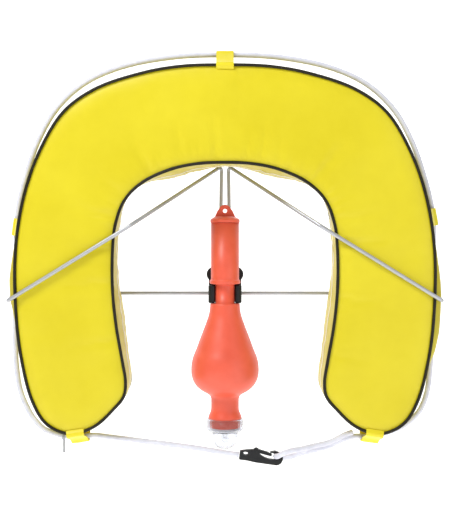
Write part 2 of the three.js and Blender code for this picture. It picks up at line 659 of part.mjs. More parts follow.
// The clear lens: a collar over the float's neck, and a dome.
place(light, 'lens', lathe([
  [24.3, -273.8], [29, -274.2], [29.2, -290], [27, -294], [21, -294], [21, -304], [19, -312.5], [14.5, -319],
  [7.5, -322.6], [0, -323.4], [0, -321.2], [7, -320.4], [13.2, -317], [17, -311.4], [18.6, -304],
  [18.6, -291], [24.3, -291], [24.3, -273.8],
]), 'clear');
place(light, 'lens_seal', ring(20.4, 23.6, -290.6, -287.4), 'rubber');

// Inside the light: the lamp on its holder, two cells in a sleeve, their contacts and the tilt switch.
place(light, 'lamp_holder', lathe([
  [0, -284], [18, -284], [18, -288.6], [7, -288.6], [7, -296], [4.3, -296], [4.3, -290], [0, -290],
], 20), 'white');
place(light, 'lamp', lathe([
  [0, -290.4], [4, -290.4], [4, -299], [6, -303], [6, -307.5], [4, -311], [0, -312],
], 16), 'glass');
place(light, 'battery_sleeve', ring(13.4, 15.8, -46.5, 32.4, 24), 'plasticBlack');
const CELL_R = 13.1;
const CELL_LONG = 49;
const cellFoot = { lower: -62, upper: -12 };
for (const [name, foot] of Object.entries(cellFoot)) {
  const top = foot + CELL_LONG - 2;
  place(light, `battery_cell_${name}`, lathe([
    [0, foot], [CELL_R - 1, foot], [CELL_R, foot + 1], [CELL_R, top - 1], [CELL_R - 1, top], [3.5, top],
    [3.5, top + 2], [0, top + 2],
  ], 20), 'cell');
}
place(light, 'base_contact', ring(3, 12.6, -63.6, -62.4, 16), 'brass');

class Spring extends THREE.Curve {
  getPoint(t) {
    const turns = 3;
    const angle = t * turns * 2 * Math.PI;
    const radius = 4.5 + 4 * t;
    return new THREE.Vector3(radius * Math.cos(angle), radius * Math.sin(angle), 38.3 + 6.5 * t);
  }
}
place(light, 'battery_spring', outward(indexed(tube(new Spring(), 0.6, 36, 5))), 'steel');

// The tilt switch: a ball that rolls to the far end of its tube when the light floats lens up.
const SWITCH_Z = -255;
const BALL_R = 4;
const BALL_TRAVEL = 8;
const SWITCH_IN = BALL_R + GAP;
place(light, 'tilt_switch_tube', lathe([
  [0, SWITCH_Z - 2], [7, SWITCH_Z - 2], [7, SWITCH_Z + 2 * BALL_R + BALL_TRAVEL + 4],
  [SWITCH_IN, SWITCH_Z + 2 * BALL_R + BALL_TRAVEL + 4], [SWITCH_IN, SWITCH_Z], [0, SWITCH_Z],
], 16), 'plasticBlack');
const ball = new THREE.SphereGeometry(BALL_R, 12, 8);
ball.rotateX(Math.PI / 2);
ball.translate(0, 0, SWITCH_Z + BALL_R + GAP);
place(light, 'tilt_switch_ball', ball, 'steel');

// Two leads from the cells' contacts to the lamp holder, clear of the switch.
for (const [name, sign] of [['left', -1], ['right', 1]]) {
  const route = smooth([
    [9 * sign, 0, -64.6], [9.5 * sign, 0, -92], [12 * sign, 3, -150], [12 * sign, 3, -225],
    [12 * sign, 0, -262], [9 * sign, 0, -283.5],
  ]);
  place(light, `lead_${name}`, outward(indexed(tube(route, 1, 14, 6))), 'rubber');
}

export default part;
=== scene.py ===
"""Looks for the horseshoe lifebuoy on its wire rack, with its grab line, snap hook and rescue light.

Lengths are in millimetres in the functions below and turn into metres where a mesh is made. Heights marked
"datum" are above the buoy's own datum, which lies DATUM_Z above the frame's origin.
"""

import math

import bmesh
import bpy
import numpy as np
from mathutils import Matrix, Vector, noise


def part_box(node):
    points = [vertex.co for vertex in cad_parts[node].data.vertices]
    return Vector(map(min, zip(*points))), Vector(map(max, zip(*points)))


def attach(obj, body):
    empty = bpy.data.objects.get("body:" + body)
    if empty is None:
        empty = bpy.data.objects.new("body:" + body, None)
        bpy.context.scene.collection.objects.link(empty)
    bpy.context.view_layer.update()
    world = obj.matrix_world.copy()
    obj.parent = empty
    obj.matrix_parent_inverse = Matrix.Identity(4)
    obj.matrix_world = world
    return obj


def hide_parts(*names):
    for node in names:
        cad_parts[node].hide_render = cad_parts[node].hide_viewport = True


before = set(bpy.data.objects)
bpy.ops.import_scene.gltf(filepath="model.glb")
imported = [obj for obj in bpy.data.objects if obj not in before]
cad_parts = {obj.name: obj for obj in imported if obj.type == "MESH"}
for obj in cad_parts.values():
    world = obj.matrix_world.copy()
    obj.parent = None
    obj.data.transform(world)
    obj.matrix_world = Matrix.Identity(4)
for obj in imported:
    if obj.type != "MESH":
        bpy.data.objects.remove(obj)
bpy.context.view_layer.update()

MM = 0.001
DATUM_Z = 57.0
FRONT_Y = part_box("front_panel")[0].y / MM
BACK_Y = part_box("back_panel")[1].y / MM
ROPE_R = 4.0
ROPE_DEPTH = 32.0
ROPE_Y = FRONT_Y + ROPE_DEPTH
HOOK_Y = FRONT_Y + 18
PIPING_R = 2.4
PIPING_OUT = 2.4                 # the piping's middle, in front of the front face and behind the back one
WIRE_R = 3.0
WIRE_BACK_Y = (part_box("rack_bar")[0].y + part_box("rack_bar")[1].y) / 2 / MM
WIRE_FRONT_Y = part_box("rack_arm_left")[0].y / MM + WIRE_R
LIGHT_Y = (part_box("float_body")[0].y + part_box("float_body")[1].y) / 2 / MM


# ---- camera, light and floor

LENS_MM = 57.7
CAMERA_SHIFT = -0.0283           # of the frame's width, downwards
CAMERA_Y = -1.439


def put(name, data):
    """A new object in the scene."""
    thing = bpy.data.objects.new(name, data)
    bpy.context.scene.collection.objects.link(thing)
    return thing


def make_camera():
    """Straight on, level with the buoy's centre."""
    data = bpy.data.cameras.new("camera")
    data.lens = LENS_MM
    data.shift_y = CAMERA_SHIFT
    camera = put("camera", data)
    camera.location = (0, CAMERA_Y, DATUM_Z * MM)
    camera.rotation_euler = (math.pi / 2, 0, 0)
    bpy.context.scene.camera = camera


def area_light(name, place, aim, size, power):
    data = bpy.data.lights.new(name, "AREA")
    data.shape = "RECTANGLE"
    data.size, data.size_y = size
    data.energy = power
    light = put(name, data)
    light.location = place
    light.rotation_euler = (Vector(aim) - Vector(place)).to_track_quat("-Z", "Y").to_euler()


def make_lights():
    world = bpy.data.worlds.new("studio")
    bpy.context.scene.world = world
    world.use_nodes = True
    background = world.node_tree.nodes["Background"]
    background.inputs["Color"].default_value = (1, 1, 1, 1)
    background.inputs["Strength"].default_value = 0.34
    middle = (0, -0.08, 0.05)
    area_light("key", (-0.9, -1.1, 1.6), (0, -0.08, 0.12), (0.8, 0.6), 29)
    area_light("fill", (1.5, -1.8, 0.4), middle, (1.2, 1.6), 7)
    area_light("rim", (0.4, 1.0, 1.4), middle, (1.4, 0.8), 4)
    bpy.context.scene.view_settings.view_transform = "Standard"


def make_floor():
    """A pale floor that curves up into a pale wall behind the object."""
    floor_z, wall_y, half, bend = -0.46, 1.6, 4.0, 0.9
    line = [(-half, floor_z), (wall_y - bend, floor_z)]
    for step in range(1, 12):
        angle = step / 12 * math.pi / 2
        line.append((wall_y - bend + bend * math.sin(angle), floor_z + bend * (1 - math.cos(angle))))
    line += [(wall_y, floor_z + bend), (wall_y, half)]
    vertices = [(x, y, z) for y, z in line for x in (-half, half)]
    faces = [(2 * i, 2 * i + 1, 2 * i + 3, 2 * i + 2) for i in range(len(line) - 1)]
    mesh = bpy.data.meshes.new("floor")
    mesh.from_pydata(vertices, [], faces)
    smooth(mesh)
    floor = put("floor", mesh)
    paint = start_material("floor_paint", (0.93, 0.93, 0.93), 0.9)
    colour_mix(paint, noise_of(paint, 3.0, 2.0), (0.91, 0.91, 0.91), (0.95, 0.95, 0.95))
    paint["shader"].inputs["Emission Color"].default_value = (1, 1, 1, 1)
    paint["shader"].inputs["Emission Strength"].default_value = 0.6
    mesh.materials.append(paint["material"])


# ---- procedural materials

def start_material(name, colour, roughness, **sockets):
    material = bpy.data.materials.new(name)
    material.use_nodes = True
    tree = material.node_tree
    shader = tree.nodes["Principled BSDF"]
    shader.inputs["Base Color"].default_value = (*colour, 1)
    shader.inputs["Roughness"].default_value = roughness
    for socket, value in sockets.items():
        shader.inputs[socket.replace("_", " ")].default_value = value
    place = tree.nodes.new("ShaderNodeTexCoord").outputs["Object"]
    return {"material": material, "tree": tree, "shader": shader, "place": place}


def add_node(paint, kind, inputs, **settings):
    """The outputs of a new node. inputs gives its sockets, by name or number, a value or a link."""
    node = paint["tree"].nodes.new("ShaderNode" + kind)
    for name, value in settings.items():
        setattr(node, name, value)
    for socket, value in inputs.items():
        if isinstance(value, bpy.types.NodeSocket):
            paint["tree"].links.new(value, node.inputs[socket])
        else:
            node.inputs[socket].default_value = value
    return node.outputs


def noise_of(paint, scale, detail):
    return add_node(paint, "TexNoise", {"Scale": scale, "Detail": detail, "Vector": paint["place"]})["Fac"]


def ramp(paint, value, low, high):
    """value, stretched so that low becomes 0 and high becomes 1."""
    return add_node(paint, "MapRange", {"Value": value, "From Min": low, "From Max": high})["Result"]


def colour_mix(paint, value, low, high):
    """The base colour goes from low to high as value goes from 0 to 1."""
    node = paint["tree"].nodes.new("ShaderNodeMix")
    node.data_type = "RGBA"
    paint["tree"].links.new(value, node.inputs["Factor"])
    ends = [socket for socket in node.inputs if socket.type == "RGBA"]
    for socket, colour in zip(ends, (low, high)):
        socket.default_value = (*colour, 1)
    result = [socket for socket in node.outputs if socket.type == "RGBA"][0]
    paint["tree"].links.new(result, paint["shader"].inputs["Base Color"])


def roughness_mix(paint, value, low, high):
    result = add_node(paint, "MapRange", {"Value": value, "To Min": low, "To Max": high})["Result"]
    paint["tree"].links.new(result, paint["shader"].inputs["Roughness"])


def bump(paint, height, strength, distance, **under):
    """Relief on the surface. Normal=... names the relief that it lies on."""
    inputs = {"Height": height, "Strength": strength, "Distance": distance, **under}
    normal = add_node(paint, "Bump", inputs)["Normal"]
    paint["tree"].links.new(normal, paint["shader"].inputs["Normal"])
    return normal


def coated_cloth(name, light, deep, weave_axes):
    """PVC-coated cloth: faint patches of colour, a soft sheen, and the scrim's weave showing through."""
    paint = start_material(name, light, 0.42, Specular_IOR_Level=0.45)
    patches, fine = noise_of(paint, 7.0, 3.0), noise_of(paint, 60.0, 4.0)
    both = add_node(paint, "Math", {0: fine, 1: 0.25, 2: patches}, operation="MULTIPLY_ADD")["Value"]
    colour_mix(paint, ramp(paint, both, 0.45, 0.85), deep, light)
    roughness_mix(paint, noise_of(paint, 25.0, 3.0), 0.36, 0.5)
    threads = {"Scale": 310.0, "Distortion": 0.4, "Vector": paint["place"]}
    warp, weft = [add_node(paint, "TexWave", threads, bands_direction=axis)["Fac"] for axis in weave_axes]
    weave = add_node(paint, "Math", {0: warp, 1: weft}, operation="MULTIPLY")["Value"]
    first = bump(paint, weave, 0.12, 0.0003)
    bump(paint, noise_of(paint, 420.0, 2.0), 0.08, 0.0004, Normal=first)
    return paint["material"]


def moulded(name, colour, deep, roughness, grain=900.0, relief=0.1, specular=0.5, metallic=0.0):
    """Moulded plastic or rubber: a fine grain, and gloss that varies a little."""
    paint = start_material(name, colour, roughness, Specular_IOR_Level=specular, Metallic=metallic)
    colour_mix(paint, ramp(paint, noise_of(paint, 35.0, 4.0), 0.3, 0.7), deep, colour)
    roughness_mix(paint, noise_of(paint, 60.0, 4.0), roughness - 0.06, roughness + 0.08)
    bump(paint, noise_of(paint, grain, 2.0), relief, 0.0003)
    return paint["material"]


def drawn_metal(name, colour, deep, roughness, metallic=1.0):
    """Metal with the fine lines and slight stains of drawn rod."""
    paint = start_material(name, colour, roughness, Metallic=metallic)
    colour_mix(paint, ramp(paint, noise_of(paint, 50.0, 5.0), 0.3, 0.75), deep, colour)
    roughness_mix(paint, noise_of(paint, 150.0, 5.0), roughness - 0.07, roughness + 0.1)
    bump(paint, noise_of(paint, 600.0, 3.0), 0.06, 0.0002)
    return paint["material"]


def clear_plastic(name, colour, roughness, ior):
    paint = start_material(name, colour, roughness, IOR=ior, Transmission_Weight=1.0)
    colour_mix(paint, noise_of(paint, 40.0, 2.0), colour, tuple(min(1.0, c * 1.02) for c in colour))
    roughness_mix(paint, noise_of(paint, 120.0, 3.0), roughness * 0.6, roughness * 1.5)
    return paint["material"]


def braided_line(name, colour, deep, light):
    """White braided line: matt, with darker patches at random, and faintly blue, partly its own tint and
    partly painted to cancel the yellow light that the cover bounces onto it.
    """
    paint = start_material(name, colour, 0.8)
    colour_mix(paint, ramp(paint, noise_of(paint, 90.0, 4.0), 0.3, 0.7), deep, light)
    bump(paint, noise_of(paint, 1500.0, 2.0), 0.25, 0.0003)
    return paint["material"]


MATERIALS = [
    (coated_cloth, "cover_panel", (0.755, 0.64, 0.014), (0.69, 0.575, 0.005), "XZ"),
    # The band is the panels' own cloth, painted darker: painted shade for its sideways-facing sides.
    (coated_cloth, "cover_band", (0.6, 0.5, 0.02), (0.51, 0.42, 0.01), "YZ"),
    (coated_cloth, "strap", (0.85, 0.74, 0.02), (0.77, 0.64, 0.01), "XY"),
    # Pale cream cloth of the narrow tape along the band's inner side.
    (coated_cloth, "seam_tape", (0.86, 0.83, 0.7), (0.78, 0.74, 0.58), "YZ"),
    (moulded, "thread", (0.86, 0.8, 0.3), (0.78, 0.7, 0.2), 0.6, 2500.0, 0.3),
    (moulded, "piping_vinyl", (0.02, 0.017, 0.008), (0.012, 0.011, 0.005), 0.5, 700.0, 0.12, 0.25),
    (moulded, "foam_cells", (0.86, 0.86, 0.83), (0.78, 0.78, 0.74), 0.88, 350.0, 0.5),
    # The line's blue tint is partly painted, to cancel the yellow light bounced onto it from the cover.
    (braided_line, "line_white", (0.76, 0.77, 0.86), (0.67, 0.68, 0.77), (0.78, 0.79, 0.88)),
    (moulded, "tie_nylon", (0.4, 0.41, 0.45), (0.34, 0.35, 0.39), 0.45),
    (moulded, "black_nylon", (0.009, 0.010, 0.012), (0.006, 0.007, 0.008), 0.42, 1100.0, 0.18, 0.35),
    (moulded, "inner_black", (0.03, 0.03, 0.032), (0.02, 0.02, 0.022), 0.5),
    (moulded, "holder_white", (0.8, 0.8, 0.8), (0.72, 0.72, 0.73), 0.4),
    (moulded, "float_orange", (0.84, 0.125, 0.07), (0.78, 0.105, 0.056), 0.4, 500.0, 0.05),
    (moulded, "seal_rubber", (0.02, 0.02, 0.02), (0.012, 0.012, 0.012), 0.7),
    (moulded, "cell_case", (0.1, 0.09, 0.07), (0.07, 0.06, 0.05), 0.35, 900.0, 0.05, 0.5, 0.6),
    (drawn_metal, "rack_steel", (0.5, 0.51, 0.54), (0.45, 0.46, 0.49), 0.3, 0.45),
    (drawn_metal, "screw_steel", (0.66, 0.65, 0.63), (0.55, 0.54, 0.52), 0.3),
    (drawn_metal, "contact_brass", (0.7, 0.5, 0.2), (0.6, 0.42, 0.16), 0.3),
    (clear_plastic, "lens_clear", (0.83, 0.84, 0.89), 0.2, 1.33),
    (clear_plastic, "lamp_glass", (0.97, 0.98, 0.98), 0.02, 1.45),
    (drawn_metal, "lamp_filament", (0.45, 0.45, 0.47), (0.35, 0.35, 0.37), 0.4),
]


# ---- mesh helpers

def smooth(mesh):
    for polygon in mesh.polygons:
        polygon.use_smooth = True


def solid_mesh(name, vertices, faces):
    """A mesh from points in millimetres, with its faces turned outwards."""
    mesh = bpy.data.meshes.new(name)
    mesh.from_pydata([tuple(float(c) * MM for c in v) for v in vertices], [], faces)
    mesh.validate()
    turning = bmesh.new()
    turning.from_mesh(mesh)
    bmesh.ops.recalc_face_normals(turning, faces=turning.faces)
    turning.to_mesh(mesh)
    turning.free()
    return mesh


def add_piece(name, geometry, body, material, *replaces, edges=None):
    """A piece that rides on a body. geometry is its points, in the frame's axes, and its faces."""
    mesh = solid_mesh(name, *geometry)
    smooth(mesh)
    mesh.materials.append(PAINTS[material])
    piece = put(name, mesh)
    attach(piece, body)
    if replaces:
        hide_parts(*replaces)
    if edges:
        round_edges(piece, *edges)
    return piece


def grid_faces(rows, columns, wrap_rows=False, wrap_columns=False, first=0):
    faces = []
    for i in range(rows if wrap_rows else rows - 1):
        for j in range(columns if wrap_columns else columns - 1):
            a, b = i * columns, (i + 1) % rows * columns
            k = (j + 1) % columns
            faces.append((first + a + j, first + b + j, first + b + k, first + a + k))
    return faces


def capped_faces(rows, sides):
    """The faces of a tube with flat ends."""
    last = (rows - 1) * sides
    return grid_faces(rows, sides, False, True) + [tuple(range(sides)), tuple(range(last, last + sides))]


def smooth_line(points, per_span=24, closed=False):
    """Points along the centripetal Catmull-Rom curve through the given ones."""
    points = np.asarray(points, float)
    if closed:
        around = np.vstack([points[-1:], points, points[:2]])
    else:
        around = np.vstack([2 * points[0] - points[1], points, 2 * points[-1] - points[-2]])
    line = []
    for p0, p1, p2, p3 in zip(around, around[1:], around[2:], around[3:]):
        d0, d1, d2 = [max(np.linalg.norm(b - a) ** 0.5, 1e-4) for a, b in ((p0, p1), (p1, p2), (p2, p3))]
        m1 = ((p1 - p0) / d0 - (p2 - p0) / (d0 + d1) + (p2 - p1) / d1) * d1
        m2 = ((p2 - p1) / d1 - (p3 - p1) / (d1 + d2) + (p3 - p2) / d2) * d1
        t = np.arange(per_span)[:, None] / per_span
        line.append((2 * t**3 - 3 * t**2 + 1) * p1 + (t**3 - 2 * t**2 + t) * m1
                    + (3 * t**2 - 2 * t**3) * p2 + (t**3 - t**2) * m2)
    line = np.concatenate(line)
    return line if closed else np.vstack([line, points[-1]])


def lengths(line):
    steps = np.linalg.norm(np.diff(line, axis=0), axis=1)
    return np.concatenate([[0], np.cumsum(steps)])


def at_lengths(line, where):
    along = lengths(line)
    return np.stack([np.interp(where, along, line[:, k]) for k in range(line.shape[1])], axis=1)


def evenly(line, step):
    total = lengths(line)[-1]
    return at_lengths(line, np.linspace(0, total, max(2, round(total / step) + 1)))


def unit(vectors):
    return vectors / np.maximum(np.linalg.norm(vectors, axis=-1, keepdims=True), 1e-9)


def tangents(line, closed=False):
    return unit(np.roll(line, -1, 0) - np.roll(line, 1, 0) if closed else np.gradient(line, axis=0))


def carried_frames(line, closed):
    """Two directions across the line at each point, carried along it without twist."""
    along = tangents(line, closed)
    side = np.zeros_like(line)
    start = np.array([0, 1, 0]) if abs(along[0][1]) < 0.9 else np.array([1, 0, 0])
    side[0] = unit(np.cross(along[0], start))
    for i in range(1, len(line)):
        moved = side[i - 1] - along[i] * np.dot(side[i - 1], along[i])
        side[i] = moved / np.linalg.norm(moved)
    return side, np.cross(along, side)


def round_rod(line, radius, sides, closed=False):
    """Vertices and faces of a round rod along a line. radius is a number, or one for each ring and side."""
    side, other = carried_frames(line, closed)
    angles = np.arange(sides) / sides * 2 * math.pi
    spread = np.broadcast_to(np.asarray(radius, float), (len(line), sides))[:, :, None]
    rings = line[:, None] + spread * (side[:, None] * np.cos(angles)[None, :, None]
                                      + other[:, None] * np.sin(angles)[None, :, None])
    faces = grid_faces(len(line), sides, True, True) if closed else capped_faces(len(line), sides)
    return rings.reshape(-1, 3), faces


def bent_rod(corners, bend, step):
    """A line through the corners, with a round bend at each inner one."""
    corners = [np.asarray(c, float) for c in corners]
    line = [corners[0]]
    for before, here, after in zip(corners, corners[1:], corners[2:]):
        back, onward = unit(before - here), unit(after - here)
        half = math.acos(np.clip(np.dot(back, onward), -1, 1)) / 2
        setback = bend / math.tan(half)
        middle = here + unit(back + onward) * bend / math.sin(half)
        start, stop = here + back * setback - middle, here + onward * setback - middle
        sweep = math.pi - 2 * half
        for t in np.linspace(0, 1, 9):
            turning = math.sin((1 - t) * sweep) * start + math.sin(t * sweep) * stop
            line.append(middle + turning / math.sin(sweep))
    line.append(corners[-1])
    spread = []
    for a, b in zip(line, line[1:]):
        pieces = max(1, round(np.linalg.norm(b - a) / step))
        spread += [a + (b - a) * k / pieces for k in range(pieces)]
    return np.array(spread + [line[-1]])


def turned_points(profile, segments, wave=None):
    """Rings of points: (radius, datum height) pairs turned about the light's axis."""
    profile = np.asarray(profile, float)
    angles = np.arange(segments) / segments * 2 * math.pi
    radius = np.repeat(profile[:, :1], segments, axis=1)
    if wave:
        radius = radius + wave(profile, angles)
    z = np.repeat(profile[:, 1:] + DATUM_Z, segments, axis=1)
    return np.stack([radius * np.cos(angles), radius * np.sin(angles) + LIGHT_Y, z], axis=-1).reshape(-1, 3)


def fan(first, segments, tip):
    """Triangles from a ring of points to a tip."""
    return [(first + k, first + (k + 1) % segments, tip) for k in range(segments)]


def turned_solid(profile, segments):
    """A profile that starts and ends on the axis, turned into a solid."""
    inner = profile[1:-1]
    rings = turned_points(inner, segments)
    ends = [[0, LIGHT_Y, profile[0][1] + DATUM_Z], [0, LIGHT_Y, profile[-1][1] + DATUM_Z]]
    faces = grid_faces(len(inner), segments, False, True)
    faces += fan(0, segments, len(rings)) + fan(len(rings) - segments, segments, len(rings) + 1)
    return np.vstack([rings, ends]), faces


def rounded_profile(profile, radius, closed=True):
    """The profile with each sharp corner turned into a small arc."""
    points = [np.asarray(p, float) for p in profile]
    out = []
    for i, here in enumerate(points):
        back, onward = points[i - 1] - here, points[(i + 1) % len(points)] - here
        room = min(np.linalg.norm(back), np.linalg.norm(onward)) * 0.45
        back, onward = unit(back), unit(onward)
        turn = math.acos(np.clip(-np.dot(back, onward), -1, 1))
        if turn < 0.35 or not closed and i in (0, len(points) - 1):
            out.append(here)
            continue
        set_off = min(radius * math.tan(turn / 2), room)
        start, stop = here + back * set_off, here + onward * set_off
        for t in (0, 0.25, 0.5, 0.75, 1):
            out.append((1 - t) ** 2 * start + 2 * t * (1 - t) * here + t**2 * stop)
    return [tuple(p) for p in out]


def arc(x, z, radius, start, stop, steps=12):
    """Points round (x, z), from one angle to another in degrees."""
    angles = np.radians(np.linspace(start, stop, steps + 1))
    return [(x + radius * math.cos(a), z + radius * math.sin(a)) for a in angles]


def at_datum(outline):
    return [(x, z + DATUM_Z) for x, z in outline]


def slab_geometry(outline, y_front, y_back):
    """A flat slab: its (x, height) outline between two depths."""
    count = len(outline)
    vertices = [(x, y_front, z) for x, z in outline] + [(x, y_back, z) for x, z in outline]
    faces = [tuple(range(count)), tuple(range(2 * count - 1, count - 1, -1))]
    faces += [(k, (k + 1) % count, (k + 1) % count + count, k + count) for k in range(count)]
    return vertices, faces


def round_edges(piece, width, segments=3, angle=32):
    edge = piece.modifiers.new("edges", "BEVEL")
    edge.width = width * MM
    edge.segments = segments
    edge.limit_method = "ANGLE"
    edge.angle_limit = math.radians(angle)
    edge.harden_normals = True


def thicken(piece, thickness, offset):
    skin = piece.modifiers.new("thickness", "SOLIDIFY")
    skin.thickness = thickness * MM
    skin.offset = offset


def join_geometry(parts):
    """One list of vertices and faces from several."""
    vertices, faces = [], []
    for points, loops in parts:
        first = len(vertices)
        vertices += [tuple(p) for p in points]
        faces += [tuple(k + first for k in loop) for loop in loops]
    return vertices, faces


def bored(piece, cutter):
    """Cuts a hole through a piece, where cutter's points and faces are."""
    tool = put("cutter", solid_mesh("cutter", *cutter))
    cut = piece.modifiers.new("bore", "BOOLEAN")
    cut.object = tool
    cut.operation = "DIFFERENCE"
    cut.solver = "EXACT"
    bpy.context.view_layer.update()
    graph = bpy.context.evaluated_depsgraph_get()
    fresh = bpy.data.meshes.new_from_object(piece.evaluated_get(graph))
    piece.modifiers.clear()
    old = piece.data
    piece.data = fresh
    bpy.data.meshes.remove(old)
    bpy.data.objects.remove(tool)
    fresh.name = piece.name
    smooth(fresh)


def soft_noise(a, b=0.0, c=0.0):
    return noise.noise(Vector((a, b, c)))


# ---- the grab line

# (x, datum height) points where the line runs beside the band. Over the top it is the same on both sides.
SHOULDER = [(85, 302), (165, 286), (222, 260), (264, 221), (293, 170), (312, 116), (323, 72), (327, 36)]
BESIDE = [
    (-206, -290.5), (-224, -292.5), (-245, -292.5), (-266, -288), (-285, -279.5), (-299, -265),
    (-308.5, -250), (-320.5, -221), (-326, -190), (-328.6, -155), (-329, -112), (-327.6, -72), (-327, -15),
    *[(-x, z) for x, z in reversed(SHOULDER)], (0, 306), *SHOULDER,
    (325, -15), (325, -72), (324, -130), (321.6, -184), (317, -221), (311, -240), (302, -256), (279, -276),
    (254, -286), (224, -292.5),
]
HOOK_END = [                     # (x, depth behind the hook's middle, datum height) points
    (21.6, 0, -317.6), (0, 0, -314.5), (-40, 0, -308), (-90, 2, -301.5), (-140, 7, -296.5), (-180, 11, -292.5),
]
EYE_END = [
    (205.8, 13, -291.6), (204.4, 13, -291.6), (187, 10, -294.7), (163, 9, -305.6), (135, 8, -313.4),
    (116, 9.5, -318.4), (102, 13, -324), (91, 15, -325.6), (82.4, 11.5, -322.4), (78.4, 0, -319.8),
    (81.6, -11.5, -317), (90, -15, -311.6), (103, -12.5, -308.2), (117, -7, -307), (135, -1, -304.4),
    (163, 2.4, -298.6), (187, 4.6, -287.6), (199, 5.6, -283.6),
]
STRANDS = 8                      # of the braid, each way round
BRAID_PITCH = 13.0
BRAID_RELIEF = 0.32
BRAID_SIDES = 24


def raised(points):
    """Datum heights turned into the frame's heights."""
    return np.asarray(points, float) + np.array([0, 0, DATUM_Z])


def make_grab_line():
    """One braided line: from the hook, through the tabs, round the buoy, to the eye on the hook's bow."""
    ends = [[(x, HOOK_Y + behind, z) for x, behind, z in end] for end in (HOOK_END, EYE_END)]
    route = smooth_line(raised(ends[0] + [(x, ROPE_Y, z) for x, z in BESIDE] + ends[1]))
    line = evenly(route, 1.1)
    along = lengths(line)[:, None]
    turn = np.arange(BRAID_SIDES)[None, :] / BRAID_SIDES
    left = STRANDS * turn + along / BRAID_PITCH
    right = STRANDS * turn - along / BRAID_PITCH
    over = (np.floor(left) + np.floor(right)) % 2 < 1
    swell = np.where(over, np.abs(np.sin(math.pi * left)), np.abs(np.sin(math.pi * right)))
    radius = ROPE_R - BRAID_RELIEF + BRAID_RELIEF * 1.6 * np.sqrt(swell)
    piece = add_piece("grab_line_braid", round_rod(line, radius, BRAID_SIDES), "buoy", "line_white",
                      "grab_line", "line_eye")
    return line


# ---- the cover

HALF_OUTLINE = [
    (0, 283), (66, 281), (125, 271), (199, 246), (247, 211), (283, 152), (307, 84), (320, 4),
    (320, -88), (312, -162), (294, -232), (272, -266.5), (237, -281), (200, -270), (171, -244),
    (155, -224), (152, -203), (157, -170), (166, -118), (172, -60), (172, 0), (168, 38),
    (154, 76), (127, 103), (84, 123), (42, 132), (0, 134),
]
OUTER_CORNER = (268, -264)
INNER_CORNER = (171, -244)
PAIRS = [                        # outer and inner points that a panel's grid joins
    ((125, 271), (66, 128)), ((247, 211), (127, 103)), ((320, 4), (172, -2)), ((312, -162), (158, -164)),
]
STATIONS = 300                   # steps along the horseshoe, from foot to foot
ACROSS = 28                      # steps across a panel
DEEP = 22                        # steps across the band
CROWN = 3.6                      # how far a panel rises above its seams
CROWN_REACH = 26.0               # how far in from the seam it is still rising
SEAM_DROP = 0.5                  # a panel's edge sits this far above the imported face, inside the piping
COVER = 1.1                      # the cloth's thickness


def nearest_index(line, point):
    return int(np.argmin(np.linalg.norm(line - np.asarray(point, float), axis=1)))


# The back of the mouth is wider than its front here: (x, datum height) points, how far each moves at the
# back, and how far round it that reaches. All but the first are on both sides.
LEANS = [((0, 134), (0, 8), 60)]
for side_x, side_z, out_x, out_z, lean_reach in (
    (146, 88, 12, 9, 58), (174, -20, 9, 0, 62), (156, -178, 6.5, 0, 62),
):
    LEANS += [((sign * side_x, side_z), (sign * out_x, out_z), lean_reach) for sign in (1, -1)]


def leant(points, y):
    """(..., 2) outline points as they lie at depth y."""
    points = np.asarray(points, float)
    share = (np.asarray(y, float) - FRONT_Y) / (BACK_Y - FRONT_Y)
    moved = points.copy()
    for centre, shift, reach in LEANS:
        weight = share * np.exp(-((points - centre) ** 2).sum(axis=-1) / reach**2)
        moved += weight[..., None] * np.asarray(shift, float)
    return moved


def right_half():
    """The outline's right half as three lines: outer side, foot and inner side."""
    closed = HALF_OUTLINE + [(-x, z) for x, z in reversed(HALF_OUTLINE[1:-1])]
    line = smooth_line(closed, 40, closed=True)
    half = line[: (len(HALF_OUTLINE) - 1) * 40 + 1]
    a, b = nearest_index(half, OUTER_CORNER), nearest_index(half, INNER_CORNER)
    return half[: a + 1], half[a: b + 1], half[b:][::-1]


def panel_grid():
    """Rows of (x, datum height) points across the panel, from its outer edge to its inner one."""
    outer, foot, inner = right_half()
    keys, matches = [
        [0.0, *[lengths(side)[nearest_index(side, pair[k])] for pair in PAIRS], lengths(side)[-1]]
        for k, side in enumerate((outer, inner))
    ]
    half = STATIONS // 2
    where = np.linspace(0, keys[-1], half + 1)
    outer_edge = at_lengths(outer, where)
    inner_edge = at_lengths(inner, np.interp(where, keys, matches))
    t = np.linspace(0, 1, ACROSS + 1)[None, :, None]
    grid = (1 - t) * outer_edge[:, None] + t * inner_edge[:, None]
    foot_edge = at_lengths(foot, np.linspace(0, lengths(foot)[-1], ACROSS + 1))
    bulge = foot_edge - grid[-1]
    left = np.clip(1 - (where[-1] - where) / 130.0, 0, 1)
    grid = grid + (left**2 * (3 - 2 * left))[:, None, None] * bulge[None]
    mirrored = grid[:0:-1] * np.array([-1, 1])
    return np.concatenate([mirrored, grid])


def edge_loop(grid):
    """Index pairs of the grid's edge, once round: outer side, right foot, inner side, left foot."""
    rows, columns = grid.shape[:2]
    loop = [(i, 0) for i in range(rows)]
    loop += [(rows - 1, j) for j in range(1, columns)]
    loop += [(i, columns - 1) for i in range(rows - 2, -1, -1)]
    loop += [(0, j) for j in range(columns - 2, 0, -1)]
    return loop


def outward_normals(loop):
    along = tangents(loop, True)
    return np.stack([-along[:, 1], along[:, 0]], axis=1)


def round_lengths(loop):
    """How far round the closed loop each of its points is."""
    return lengths(np.vstack([loop, loop[:1]]))[:-1]


def ring_mean(values, reach):
    """Each value's mean with its neighbours, round a closed loop."""
    ringed = np.concatenate([values[-reach:], values, values[:reach]])
    count = 2 * reach + 1
    return np.convolve(ringed, np.ones(count) / count, "valid")


def edge_distance(points, loop):
    """For each point, the distance to the nearest edge point, and that point's index."""
    nearest = np.array([nearest_index(loop, point) for point in points])
    return np.linalg.norm(loop[nearest] - points, axis=1), nearest


